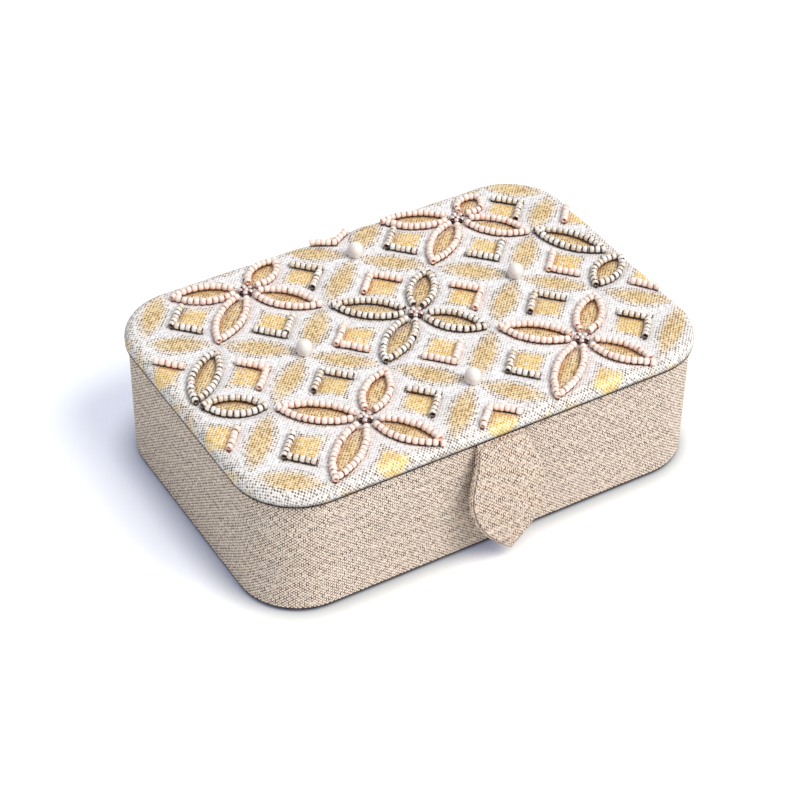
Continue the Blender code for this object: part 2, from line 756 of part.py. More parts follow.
def flap_point(x, drop, depth):
    """The point at a depth behind the bowed front face, square to it, from the hinge line."""
    out, angle = flap_front(drop)
    return (x + FLAP_CENTRE_X, depth * math.cos(angle) - out, -drop - depth * math.sin(angle))


def flap_loop(bm, inset, depth):
    """The flap's outline, moved inwards by inset, at a depth behind its front face."""
    return loop_of(bm, [flap_point(point.x, -point.y, depth) for point in flap_outline(inset)])


def laddered(bm, loop):
    """Flat faces across an outline from its left half to its right half, down to the tip."""
    last = len(loop) - 1
    for index in range(last // 2):
        rung = (loop[index], loop[index + 1], loop[last - index - 1], loop[last - index])
        bm.faces.new(dict.fromkeys(rung))


def flap_sheet(name, inset, depths, material):
    """One layer of the flap between two depths behind its front face."""
    bm = bmesh.new()
    loops = [flap_loop(bm, inset, depth) for depth in depths]
    skinned(bm, loops)
    for loop in loops:
        laddered(bm, loop)
    return object_from(bm, name, material)


def flap_front_cloth():
    """The cloth over the flap's front and round its board's edge, with the strap it hangs by.

    The strap is as thick as the cloth. It grows out of the top edge and ends at the hinge line.
    """
    bm = bmesh.new()
    thickness = FLAP_CLOTH_THICKNESS
    places = (
        (thickness, thickness),
        (thickness, FLAP_BOARD_BACK),
        (0, FLAP_BOARD_BACK),
        (0, thickness),
        (0, 0),
    )
    loops = [flap_loop(bm, inset, depth) for inset, depth in places]
    skinned(bm, loops)
    laddered(bm, loops[0])
    laddered(bm, loops[-1])
    back, front = loops[-2:]
    rings = [[back[-1], back[0], front[0], front[-1]]]
    bm.faces.remove(bm.faces.get(rings[0]))
    for step in range(1, STRAP_STEPS + 1):
        drop = FLAP_BODY_DROP * (1 - step / STRAP_STEPS)
        half = flap_half_width(drop)
        corners = ((half, thickness), (-half, thickness), (-half, 0), (half, 0))
        rings.append(loop_of(bm, [flap_point(x, drop, depth) for x, depth in corners]))
    skinned(bm, rings)
    bm.faces.new(rings[-1])
    return object_from(bm, "flap_front_cloth", "linen")


def build_flap():
    """The flap's board, its two cloths and its magnet, in the hinge line's own frame."""
    back = flap_sheet("flap_back_cloth", 0, (FLAP_BACK_CLOTH_FRONT, FLAP_BACK), "linen")
    wrap = FLAP_CLOTH_THICKNESS + GLUE_GAP
    board = flap_sheet("flap_board", wrap, (FLAP_BOARD_FRONT, FLAP_BOARD_BACK), "board")
    front = flap_front_cloth()
    middle = FLAP_BOARD_FRONT + FLAP_BOARD_THICKNESS / 2
    magnet_place = flap_point(0, FLAP_MAGNET_DROP, middle)
    tilt = flap_front(FLAP_MAGNET_DROP)[1]
    magnet = disc_facing_front(
        "flap_magnet", MAGNET_RADIUS, MAGNET_THICKNESS, magnet_place, "magnet", tilt
    )
    hole = disc_facing_front(
        "flap_hole_cutter",
        MAGNET_RADIUS + GLUE_GAP,
        FLAP_BOARD_THICKNESS + 2 * CUT_OVERRUN_LENGTH,
        magnet_place,
        "board",
        tilt,
    )
    cut_away(board, hole)
    return [back, board, front, magnet, hole]


def build():
    """Clears the scene and builds the box at rest, closed, with its flap hanging a little open."""
    for old in list(bpy.data.objects):
        bpy.data.objects.remove(old)
    build_base()
    lid_axis = axis_empty("lid_hinge_line", (0, LID_BACK, HINGE_LINE_HEIGHT))
    hang_on(lid_axis, build_lid_layers() + build_beadwork())
    flap_axis = axis_empty("flap_hinge_line", (0, FLAP_HINGE_Y, HINGE_LINE_HEIGHT))
    for piece in build_flap():
        piece.parent = flap_axis


build()
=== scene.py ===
"""Looks of a cloth-covered keepsake box with a padded, beaded lid and a pointed flap.

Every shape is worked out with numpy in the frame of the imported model, in metres, +Z up, the front
at -Y. Every finish is built from shader nodes that read the pieces' own UV maps and attributes, or
their Object coordinates.
"""

import logging
import math
from dataclasses import dataclass, field
from enum import Enum
from typing import Any, Optional, Sequence, Union

import bmesh
import bpy
import numpy as np
from mathutils import Matrix, Vector

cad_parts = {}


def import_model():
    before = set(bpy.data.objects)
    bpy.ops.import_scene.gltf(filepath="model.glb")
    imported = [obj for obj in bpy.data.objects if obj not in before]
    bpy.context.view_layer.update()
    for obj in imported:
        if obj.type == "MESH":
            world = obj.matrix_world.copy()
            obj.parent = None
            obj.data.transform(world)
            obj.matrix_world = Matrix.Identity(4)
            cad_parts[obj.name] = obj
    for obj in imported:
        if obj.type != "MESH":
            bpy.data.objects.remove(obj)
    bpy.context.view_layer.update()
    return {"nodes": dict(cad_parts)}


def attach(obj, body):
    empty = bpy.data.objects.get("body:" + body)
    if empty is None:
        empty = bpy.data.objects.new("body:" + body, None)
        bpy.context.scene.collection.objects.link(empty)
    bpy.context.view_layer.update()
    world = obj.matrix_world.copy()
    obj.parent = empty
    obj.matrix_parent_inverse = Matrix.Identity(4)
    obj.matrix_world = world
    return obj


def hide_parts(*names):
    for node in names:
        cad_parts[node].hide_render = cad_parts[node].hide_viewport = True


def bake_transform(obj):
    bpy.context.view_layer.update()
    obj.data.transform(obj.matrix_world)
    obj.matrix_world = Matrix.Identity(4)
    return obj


LOG = logging.getLogger("keepsake_box")
BEAD_PITCH = 0.0024

Array = np.ndarray
Material = bpy.types.Material
Piece = bpy.types.Object
Value = Union["Wire", float, tuple]


class Body(Enum):
    """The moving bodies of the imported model."""

    BASE = "base"
    LID = "lid"
    FLAP = "flap"


class Turn(Enum):
    """Which corners of a square a short bead string passes, in order."""

    LEFT = ("up", "left", "down")
    RIGHT = ("up", "right", "down")
    TOP = ("left", "up", "right")
    BOTTOM = ("left", "down", "right")
    UP_RIGHT = ("up", "right")
    LEFT_UP = ("left", "up")
    RIGHT_DOWN = ("right", "down")
    LEFT_DOWN = ("left", "down")


# Where the beadwork is sewn, in steps of the lattice: each flower's middle and its petals' tips.
BLUSH_FLOWERS = (
    ((-1.987, 1.976), ((-1.206, 2.489), (-3.084, 2.451), (-2.967, 0.989), (-1.148, 1.013))),
    ((2.044, 1.996), ((2.660, 2.373), (0.917, 2.562), (1.050, 1.112), (2.847, 1.034))),
    ((-1.902, -1.963), ((-1.089, -1.114), (-2.932, -1.067), (-2.988, -3.000), (-1.198, -3.114))),
    ((2.024, -1.998), ((2.829, -1.142), (1.075, -1.077), (0.902, -3.037), (2.653, -3.109))),
)
BRONZE_FLOWER = (
    (0.092, -0.009),
    ((0.821, 0.897), (-0.948, 0.863), (-0.942, -0.851), (0.846, -0.910)),
)
# The outer and the inner end of each lone petal at the lid's edges.
EDGE_PETALS = (
    ((-3.955, -0.008), (-3.143, 0.777)),
    ((-3.889, -0.211), (-3.104, -0.895)),
    ((3.669, -0.105), (3.018, 0.977)),
    ((3.798, -0.397), (3.029, -0.858)),
)
PEARLS = ((0.040, 1.932), (-1.941, -0.018), (2.013, 0.023), (-0.034, -2.044))
# The middle of each square that is half framed by a short string.
BRONZE_SQUARES = (
    (-3.071, 1.765, Turn.LEFT),
    (-1.021, 1.871, Turn.RIGHT),
    (0.970, 1.883, Turn.LEFT),
    (2.863, 1.826, Turn.RIGHT),
    (-1.996, 0.965, Turn.BOTTOM),
    (2.013, 1.024, Turn.BOTTOM),
    (-1.928, -0.970, Turn.TOP),
    (2.036, -0.957, Turn.TOP),
    (-3.032, -2.125, Turn.LEFT),
    (-1.009, -2.059, Turn.RIGHT),
    (0.937, -2.091, Turn.LEFT),
    (2.903, -2.102, Turn.RIGHT),
)
BLUSH_SQUARES = (
    (-4.081, 0.957, Turn.UP_RIGHT),
    (-0.012, 0.923, Turn.TOP),
    (3.915, 0.953, Turn.LEFT_UP),
    (-2.978, -0.065, Turn.RIGHT),
    (-1.032, -0.077, Turn.LEFT),
    (0.977, -0.012, Turn.RIGHT),
    (2.954, -0.082, Turn.LEFT),
    (-4.040, -0.979, Turn.RIGHT_DOWN),
    (-0.027, -1.055, Turn.BOTTOM),
    (3.927, -1.090, Turn.LEFT_DOWN),
    (-0.133, -3.134, Turn.TOP),
    (-0.097, 2.843, Turn.BOTTOM),
)
# Where the print's crossings and squares lie on the unrolled cloth: column, row, and the place in
# millimetres. The cloth was stretched by hand, so none lies quite on its step.
PRINT_POINTS = (
    (-4, 2, -96.2, 42.4), (-3, 1, -71.9, 27.0), (-3, -1, -71.3, -17.6), (-4, 0, -96.2, -2.0),
    (-4, -2, -97.1, -47.9), (-2, 2, -46.0, 51.3), (-3, 3, -74.5, 70.0), (-1, 3, -22.0, 71.0),
    (0, 2, 3.2, 50.5), (-1, 1, -22.3, 28.2), (1, 1, 28.0, 28.9), (0, 0, 5.6, 4.9),
    (2, 2, 54.0, 51.8), (1, 3, 27.0, 71.0), (3, 1, 76.9, 29.0), (3, -1, 77.1, -17.0),
    (1, -1, 28.3, -17.2), (2, -2, 53.5, -41.6), (4, -2, 103.0, -41.0), (3, -3, 72.2, -67.5),
    (1, -3, 24.0, -66.9), (-1, -1, -21.2, -17.0), (-2, -2, -43.9, -40.8), (-1, -3, -24.4, -68.6),
    (-3, -3, -73.2, -67.6), (2, 0, 53.2, 5.6), (-2, 0, -44.8, 4.7), (0, -2, 2.5, -42.7),
    (-3, 2, -72.9, 45.8), (-1, 2, -22.0, 48.9), (1, 2, 27.3, 49.2), (3, 2, 74.3, 47.8),
    (-2, 1, -46.2, 27.7), (2, 1, 53.2, 29.1), (-2, -1, -44.5, -17.6), (2, -1, 53.8, -17.3),
    (-3, -2, -71.9, -44.7), (-1, -2, -21.7, -43.1), (1, -2, 26.5, -43.8), (3, -2, 75.3, -44.1),
    (0, 1, 3.0, 26.7), (-3, 0, -70.6, 3.6), (-1, 0, -22.3, 3.3), (1, 0, 27.5, 4.8),
    (3, 0, 76.6, 3.2), (0, -1, 2.6, -19.6), (0, 3, 0.9, 71.6), (4, 1, 100.4, 27.4),
    (4, -1, 100.7, -20.4), (0, -3, 0.0, -68.2), (-4, 1, -97.9, 20.0), (-4, -1, -96.9, -22.0),
)


def paint(red: float, green: float, blue: float) -> tuple[float, float, float, float]:
    """Turns an 8-bit display colour into the linear colour that shaders take.

    Args:
        red, green, blue: The display colour, each from 0 to 255.

    Returns:
        The linear colour with an alpha of one.
    """
    levels = np.array([red, green, blue]) / 255
    linear = np.where(levels <= 0.04045, levels / 12.92, ((levels + 0.055) / 1.055) ** 2.4)
    return (float(linear[0]), float(linear[1]), float(linear[2]), 1.0)


# Meshes from grids


class GridMesh:
    """Gathers parametric grids into one closed mesh with UV maps and point attributes."""

    def __init__(self, name: str, layers: Sequence[str] = ("cloth",)) -> None:
        """Starts an empty mesh.

        Args:
            name: The piece's name.
            layers: The names of its UV maps.
        """
        self.name = name
        self.layers = list(layers)
        self.points: list[Array] = []
        self.quads: list[Array] = []
        self.uvs: dict[str, list[Array]] = {layer: [] for layer in layers}
        self.marks: dict[str, list[Array]] = {}
        self.count = 0

    def add(
        self,
        points: Array,
        uvs: Sequence[Array],
        wrap_rows: bool = False,
        wrap_columns: bool = False,
        marks: Optional[dict[str, Array]] = None,
    ) -> None:
        """Adds one grid, or a batch of grids of the same kind.

        Args:
            points: Places, shaped (rows, columns, 3) or (copies, rows, columns, 3).
            uvs: One array for each UV map, shaped (rows, columns, 2) with one more row or column
                where the grid wraps, or with the copies in front.
            wrap_rows: Whether the last row joins the first.
            wrap_columns: Whether the last column joins the first.
            marks: Point attributes, each shaped as points without its last axis.
        """
        places = points if points.ndim == 4 else points[None]
        copies, rows, columns = places.shape[:3]
        index = np.arange(rows * columns).reshape(rows, columns)
        if wrap_rows:
            index = np.concatenate([index, index[:1]], axis=0)
        if wrap_columns:
            index = np.concatenate([index, index[:, :1]], axis=1)
        quads = np.stack(
            [index[:-1, :-1], index[1:, :-1], index[1:, 1:], index[:-1, 1:]], axis=-1
        ).reshape(-1, 4)
        starts = self.count + np.arange(copies) * rows * columns
        self.quads.append((quads[None] + starts[:, None, None]).reshape(-1, 4))
        self.points.append(places.reshape(-1, 3))
        for layer, uv in zip(self.layers, uvs):
            grid = uv if uv.ndim == 4 else uv[None]
            corners = np.stack(
                [grid[:, :-1, :-1], grid[:, 1:, :-1], grid[:, 1:, 1:], grid[:, :-1, 1:]], axis=-2
            )
            whole = np.broadcast_to(corners, (copies, *corners.shape[1:]))
            self.uvs[layer].append(whole.reshape(-1, 2))
        for name, values in (marks or {}).items():
            self.marks.setdefault(name, []).append(np.asarray(values, float).reshape(-1))
        self.count += copies * rows * columns

    def build(self, material: Material, smooth_degrees: float = 40) -> Piece:
        """Makes the object: seams and poles closed, faces outwards, smooth but for sharp edges.

        Args:
            material: The finish of the whole piece.
            smooth_degrees: Edges sharper than this stay sharp.

        Returns:
            The new object, at the origin, with its place in its mesh.
        """
        mesh = bpy.data.meshes.new(self.name)
        quads = np.concatenate(self.quads)
        mesh.from_pydata(np.concatenate(self.points), [], quads)
        for layer in self.layers:
            made = mesh.uv_layers.new(name=layer)
            made.data.foreach_set("uv", np.concatenate(self.uvs[layer]).astype(np.float32).ravel())
        for name, values in self.marks.items():
            mark = mesh.attributes.new(name, "FLOAT", "POINT")
            mark.data.foreach_set("value", np.concatenate(values).astype(np.float32))
        bm = bmesh.new()
        bm.from_mesh(mesh)
        bmesh.ops.remove_doubles(bm, verts=bm.verts, dist=1e-6)
        bmesh.ops.recalc_face_normals(bm, faces=bm.faces)
        bm.to_mesh(mesh)
        bm.free()
        mesh.shade_smooth()
        mesh.set_sharp_from_angle(angle=math.radians(smooth_degrees))
        mesh.materials.append(material)
        piece = bpy.data.objects.new(self.name, mesh)
        bpy.context.scene.collection.objects.link(piece)
        return piece


def circle(angle: Array) -> Array:
    """Points of the unit circle at angles in radians."""
    return np.stack([np.cos(angle), np.sin(angle)], axis=-1)


def unit(vectors: Array) -> Array:
    """The vectors along the last axis, each made one long."""
    return vectors / np.linalg.norm(vectors, axis=-1, keepdims=True)


def even_grid(rows: int, columns: int) -> Array:
    """An even UV grid over the unit square."""
    return np.stack(np.meshgrid(np.linspace(0, 1, columns), np.linspace(0, 1, rows)), axis=-1)


def grid_piece(
    name: str,
    points: Array,
    uv: Array,
    material: Material,
    smooth_degrees: float = 40,
    **options: Any,
) -> Piece:
    """Makes a piece of one grid or one batch of grids, with the options of GridMesh.add.

    Args:
        name: The piece's name.
        points: The places, as GridMesh.add takes them.
        uv: The values of its only UV map.
        material: Its finish.
        smooth_degrees: Edges sharper than this stay sharp.
        options: Which sides wrap, and the point attributes.

    Returns:
        The piece.
    """
    mesh = GridMesh(name)
    mesh.add(points, [uv], **options)
    return mesh.build(material, smooth_degrees)


@dataclass(frozen=True)
class RoundedOutline:
    """A rounded rectangle about the origin, walked once round from the middle of its back."""

    width: float
    depth: float
    radius: float
    arc_steps: int = 20
    side_steps: int = 24

    def walk(self) -> tuple[Array, Array, Array]:
        """Walks the outline.

        The arcs' centres stay put for every inset: a place is its centre plus the normal times
        the radius less the inset.

        Returns:
            The centres (n, 2), the outward normals (n, 2) and the lengths walked (n + 1).
        """
        across = self.width / 2 - self.radius
        along = self.depth / 2 - self.radius
        stops = np.array(
            [(0, along), (-across, along), (-across, -along), (across, -along), (across, along)]
        )
        centres, angles = [], []
        for corner, start in enumerate(stops):
            end = stops[(corner + 1) % len(stops)]
            share = np.linspace(0, 1, self.side_steps, endpoint=False)[:, None]
            centres.append(start + (end - start) * share)
            angles.append(np.full(self.side_steps, math.radians(90) * (1 + corner)))
            if corner < len(stops) - 1:
                turn = np.linspace(0, 1, self.arc_steps, endpoint=False)
                centres.append(np.repeat(end[None], self.arc_steps, axis=0))
                angles.append(math.radians(90) * (1 + corner + turn))
        middle = np.concatenate(centres)
        normals = circle(np.concatenate(angles))
        places = middle + normals * self.radius
        gaps = np.linalg.norm(np.diff(places, axis=0, append=places[:1]), axis=1)
        return middle, normals, np.concatenate([[0.0], np.cumsum(gaps)])


def carried_round(middle: Array, normals: Array, radius: float, profile: Array) -> Array:
    """Carries a profile of (inset, height) pairs round an outline.

    Each place is the outline's centre plus its normal times the radius less the inset.

    Args:
        middle: The outline's centres (n, 2).
        normals: Its outward normals (n, 2).
        radius: Its corner radius.
        profile: The profile (m, 2).

    Returns:
        The places (m, n, 3).
    """
    flat = middle[None] + normals[None] * (radius - profile[:, 0])[:, None, None]
    height = np.broadcast_to(profile[:, 1][:, None, None], (*flat.shape[:2], 1))
    return np.concatenate([flat, height], axis=-1)


def lengths_along(profile: Array) -> Array:
    """Lengths walked along a row of points, from zero at the first."""
    steps = np.linalg.norm(np.diff(profile, axis=0), axis=1)
    return np.concatenate([[0.0], np.cumsum(steps)])


def fold(inset: float, height: float, radius: float, start: float, end: float) -> Array:
    """Points of a rounded fold: a circle's arc about (inset, height) from start to end degrees."""
    return np.array([inset, height]) + radius * circle(np.radians(np.linspace(start, end, 5)))


def slab(
    name: str,
    outline: RoundedOutline,
    profile: Array,
    material: Material,
    rings: int = 13,
    crown: float = 0.0,
    hollow: float = 0.0,
) -> Piece:
    """A flat or crowned slab: a profile round the outline, closed by rings to the middle.

    The top rises to its crown as one minus the fourth power of the share of the way out, and the
    underside to its hollow as one minus the sixth power.

    Args:
        name: The piece's name.
        outline: What the profile is carried round.
        profile: The slab's edge as (inset, height), from its underside up.
        material: Its finish.
        rings: How many rings close each face.
        crown: How far the middle of the top rises.
        hollow: How far the middle of the underside rises.

    Returns:
        The closed piece.
    """
    middle, normals, _ = outline.walk()
    rim = carried_round(middle, normals, outline.radius, profile)
    shares = np.linspace(1, 0, rings)[:, None, None]
    up = np.array([0.0, 0.0, 1.0])
    narrowed = np.array([1.0, 1.0, 0.0]) * shares + up
    top = rim[-1][None] * narrowed + up * crown * (1 - shares**4)
    low = (rim[0][None] * narrowed + up * hollow * (1 - shares**6))[::-1]
    points = np.concatenate([low[:-1], rim, top[1:]])
    uv = np.concatenate([points[..., :2], points[:, :1, :2]], axis=1)
    return grid_piece(name, points, uv, material, wrap_columns=True)


def strip(
    name: str, middle: Array, centre_x: float, width: float, thickness: float, material: Material
) -> Piece:
    """A closed cloth strip along X whose section follows a middle line of (y, z) points.

    Its two faces stand off the line by half the thickness, square to it.

    Args:
        name: The piece's name.
        middle: The middle line (n, 2).
        centre_x: Where the strip's middle lies along X.
        width: Its width along X.
        thickness: The cloth's thickness.
        material: Its finish.

    Returns:
        The closed piece.
    """
    along = unit(np.gradient(middle, axis=0))
    square = np.stack([-along[:, 1], along[:, 0]], axis=-1) * thickness / 2
    section = np.concatenate([middle + square, (middle - square)[::-1]])
    walked = lengths_along(np.concatenate([section, section[:1]]))
    across = np.linspace(-width / 2, width / 2, 30) + centre_x
    x = np.concatenate([[across[0]], across, [across[-1]]])
    points = np.empty((len(section), len(x), 3))
    points[..., 0] = x[None]
    points[..., 1:] = section[:, None]
    order = np.arange(len(section))
    points[:, [0, -1], 1:] = middle[np.minimum(order, order[::-1])][:, None]
    uv = np.stack(np.meshgrid(x, walked), axis=-1)
    return grid_piece(name, points, uv, material, wrap_rows=True)


# Finishes


class Wire:
    """The output of a node, which plain arithmetic can be written with."""

    def __init__(self, graph: "Graph", socket: bpy.types.NodeSocket) -> None:
        """Keeps the output and the graph that it belongs to."""
        self.graph = graph
        self.socket = socket

    def beside(self, output: str | int) -> "Wire":
        """Another output of the same node."""
        return Wire(self.graph, self.socket.node.outputs[output])

    def __add__(self, other: Value) -> "Wire":
        """Adds a value."""
        return self.graph.math("ADD", self, other)

    def __sub__(self, other: Value) -> "Wire":
        """Takes a value from this one."""
        return self.graph.math("SUBTRACT", self, other)

    def __rsub__(self, other: float) -> "Wire":
        """Takes this value from a number."""
        return self.graph.math("SUBTRACT", other, self)

    def __mul__(self, other: Value) -> "Wire":
        """Multiplies by a value."""
        return self.graph.math("MULTIPLY", self, other)

    def __truediv__(self, other: float) -> "Wire":
        """Divides by a number."""
        return self.graph.math("DIVIDE", self, other)

    def __abs__(self) -> "Wire":
        """The value without its sign."""
        return self.graph.math("ABSOLUTE", self)


class Graph:
    """Builds a node tree: each method adds a node and gives back its output."""

    def __init__(self, tree: bpy.types.NodeTree) -> None:
        """Takes the tree that the nodes go into."""
        self.nodes = tree.nodes
        self.links = tree.links

    def feed(self, socket: bpy.types.NodeSocket, value: Value) -> None:
        """Links an output to a socket, or writes a plain value on it.

        Args:
            socket: The input.
            value: What goes into it.
        """
        if isinstance(value, Wire):
            self.links.new(value.socket, socket)
        else:
            socket.default_value = value

    def node(self, kind: str, output: str | int, feeds: dict, **settings: Any) -> Wire:
        """Adds a node.

        Args:
            kind: Its type, without the leading ShaderNode.
            output: Which of its outputs to give back.
            feeds: What goes into its inputs, by name or number.
            settings: The node's own properties.

        Returns:
            The output.
        """
        made = self.nodes.new(f"ShaderNode{kind}")
        for name, value in settings.items():
            setattr(made, name, value)
        for name, value in feeds.items():
            self.feed(made.inputs[name], value)
        return Wire(self, made.outputs[output])

    def math(self, operation: str, *values: Value) -> Wire:
        """A Math node."""
        return self.node("Math", 0, dict(enumerate(values)), operation=operation)

    def most(self, first: Value, second: Value) -> Wire:
        """The larger of two values."""
        return self.math("MAXIMUM", first, second)

    def least(self, first: Value, second: Value) -> Wire:
        """The smaller of two values."""
        return self.math("MINIMUM", first, second)

    def off_whole(self, value: Wire) -> Wire:
        """How far a value is from the nearest whole number."""
        return abs(value - self.math("ROUND", value))

    def uv(self, layer: str) -> Wire:
        """Reads one of the piece's own UV maps."""
        return self.node("UVMap", "UV", {}, uv_map=layer)

    def mark(self, name: str) -> Wire:
        """Reads a point attribute of the piece."""
        return self.node("Attribute", "Fac", {}, attribute_name=name)

    def place(self) -> Wire:
        """Reads the Object coordinates."""
        return self.node("TexCoord", "Object", {})

    def split(self, vector: Wire) -> tuple[Wire, Wire]:
        """The first two parts of a vector."""
        first = self.node("SeparateXYZ", 0, {0: vector})
        return first, first.beside(1)

    def join(self, first: Value, second: Value) -> Wire:
        """A vector of two parts."""
        return self.node("CombineXYZ", 0, {0: first, 1: second})

    def noise(self, vector: Wire, scale: float, detail: float = 2, rough: float = 0.5) -> Wire:
        """A noise value about one half, with its grains one part in scale of a metre."""
        feeds = {"Vector": vector, "Scale": scale, "Detail": detail, "Roughness": rough}
        return self.node("TexNoise", "Fac", feeds)

    def chance(self, index: Value) -> Wire:
        """A random value from 0 to 1 for each whole index."""
        return self.node("TexWhiteNoise", "Value", {"W": index}, noise_dimensions="1D")

    def ease(self, value: Value, low: float, high: float) -> Wire:
        """Goes smoothly from 0 at low to 1 at high."""
        feeds = {"Value": value, "From Min": low, "From Max": high}
        return self.node("MapRange", "Result", feeds, interpolation_type="SMOOTHSTEP")

    def mix(self, share: Value, first: Value, second: Value) -> Wire:
        """Goes from the first colour to the second by share."""
        return self.node("Mix", 2, {0: share, 6: first, 7: second}, data_type="RGBA")

    def blend(self, share: Value, first: Value, second: Value) -> Wire:
        """Goes from the first number to the second by share."""
        return self.node("Mix", 0, {0: share, 2: first, 3: second})

    def seen(self) -> Wire:
        """1 for rays from the camera, also by way of a gloss or through a clear piece.

        Returns:
            The value.
        """
        rays = self.node("LightPath", "Is Camera Ray", {})
        mirrored = self.most(rays.beside("Is Glossy Ray"), rays.beside("Is Transmission Ray"))
        return self.most(rays, mirrored)


class MaterialGraph(Graph):
    """The node tree of a new material round its Principled shader."""

    def __init__(self, name: str) -> None:
        """Starts the material under a name.

        Args:
            name: The material's name.
        """
        self.material = bpy.data.materials.new(name)
        self.material.use_nodes = True
        super().__init__(self.material.node_tree)
        self.shader = self.nodes["Principled BSDF"]

    def set(self, **values: Value) -> None:
        """Feeds the shader's own sockets, named with underscores for spaces."""
        for name, value in values.items():
            self.feed(self.shader.inputs[name.replace("_", " ")], value)

    def bump(self, height: Wire, distance: float) -> None:
        """Raises the surface by a height, times a distance in metres."""
        feeds = {"Strength": 1.0, "Distance": distance, "Height": height}
        self.set(Normal=self.node("Bump", "Normal", feeds))


@dataclass(frozen=True)
class Threads:
    """What a weave gives at each place of the cloth.

    The height is 0 in the holes and 1 on the crowns. The tone is a random value from 0 to 1 that
    differs from thread to thread and swells along each. The chance is a random value for each
    crown. The gap is 1 in the middle of an open gap between two warp threads.
    """

    height: Wire
    tone: Wire
    check: Wire
    chance: Wire
    gap: Wire


@dataclass(frozen=True)
class Weave:
    """A plain weave laid out on a UV map in metres.

    Warp threads run along the second axis and weft threads along the first. Each is half a sine
    across, and rises and sinks as it passes over and under the others.
    """

    warp_pitch: float
    weft_pitch: float
    wander: float = 0.18
    wander_grain: float = 160
    roundness: float = 0.62
    rise: float = 0.38
    slub_grain: float = 55
    slub_range: tuple = (0.35, 0.65)
    gap_grain: float = 400
    gap_width: tuple = (0.26, 0.12)
    gap_range: tuple = (0.40, 0.64)

    def build(self, graph: Graph, cloth: Wire) -> Threads:
        """Adds the weave's nodes. The odd factors keep the threads' noises apart.

        Args:
            graph: The material they go into.
            cloth: The UV map in metres.

        Returns:
            The values that the weave gives.
        """
        drift = (graph.noise(cloth, self.wander_grain, 1) - 0.5) * (self.wander * 2)
        x, y = graph.split(cloth)
        across = x / self.warp_pitch + drift
        along = y / self.weft_pitch - drift
        sine_across = graph.math("SINE", across * math.pi)
        sine_along = graph.math("SINE", along * math.pi)
        check = sine_across * sine_along
        rise = check * self.rise
        warp = abs(sine_across) * self.roundness + rise
        weft = abs(sine_along) * self.roundness - rise
        on_top = graph.math("GREATER_THAN", check, 0.0)
        column = graph.math("FLOOR", across)
        row = graph.math("FLOOR", along)
        warp_tone = self.tone(graph, column, graph.join(column * 0.37, y))
        weft_tone = self.tone(graph, row + 71.3, graph.join(x, row * 0.41))
        tone = graph.blend(on_top, weft_tone, warp_tone)
        chance = graph.chance(column + row * 517.0)
        nearest = graph.math("ROUND", across)
        narrow = graph.ease(abs(across - nearest), *self.gap_width)
        open_here = graph.noise(graph.join(nearest * 0.53, y), self.gap_grain)
        gap = narrow * graph.ease(open_here, *self.gap_range)
        return Threads(graph.most(warp, weft), tone, check, chance, gap)

    def tone(self, graph: Graph, index: Wire, along: Wire) -> Wire:
        """A thread's own tone, half by chance and half by slubs along it."""
        slub = graph.ease(graph.noise(along, self.slub_grain), *self.slub_range)
        return (graph.chance(index) + slub) * 0.5


@dataclass(frozen=True)
class LinenFinish:
    """Natural linen: beige ribs of warp with dark gaps, pale crowns and loose fibres."""

    name: str
    light: tuple = paint(255, 242, 226)
    middle: tuple = paint(214, 186, 164)
    hole: tuple = paint(92, 68, 56)
    gap: tuple = paint(54, 36, 28)
    # Painted shade, for the fold under the walls' foot and along the flap's creased left edge.
    fold_shade: tuple = paint(30, 20, 17)
    weave: Weave = Weave(0.00086, 0.00071, 0.10)
    crowns: float = 0.68
    uneven: float = 0.42
    slubs: float = 0.18
    light_range: tuple = (-0.26, 0.24)
    hole_range: tuple = (-0.34, -0.60)
    depth: float = 0.00020

    def material(self) -> Material:
        """Builds the linen's material.

        Returns:
            The material.
        """
        graph = MaterialGraph(self.name)
        cloth = graph.uv("cloth")
        threads = self.weave.build(graph, cloth)
        loose = (threads.chance - 0.5) * self.uneven + (threads.tone - 0.5) * self.slubs
        pale = threads.check * self.crowns + loose
        thread = graph.mix(graph.ease(pale, *self.light_range), self.middle, self.light)
        colour = graph.mix(graph.ease(pale, *self.hole_range), thread, self.hole)
        colour = graph.mix(threads.gap, colour, self.gap)
        # Painted shade: the mark read here darkens the linen and takes off its gloss along the fold
        # under the walls' foot and the flap's creased left edge.
        fold_shade = graph.mark("fold_shade")
        graph.set(
            Base_Color=graph.mix(fold_shade, colour, self.fold_shade),
            Roughness=0.92,
            Sheen_Weight=0.06,
            Sheen_Roughness=0.5,
            Specular_IOR_Level=graph.blend(fold_shade, 0.2, 0.0),
        )
        fuzz = graph.noise(cloth, 3200, 1) * 0.25
        graph.bump(threads.height + fuzz - threads.gap * 0.5, self.depth)
        return graph.material


FLAP_LINEN = LinenFinish(
    "flap_linen",
    light=paint(248, 230, 212),
    middle=paint(207, 180, 158),
    hole=paint(108, 84, 70),
    crowns=0.56,
    uneven=0.52,
)


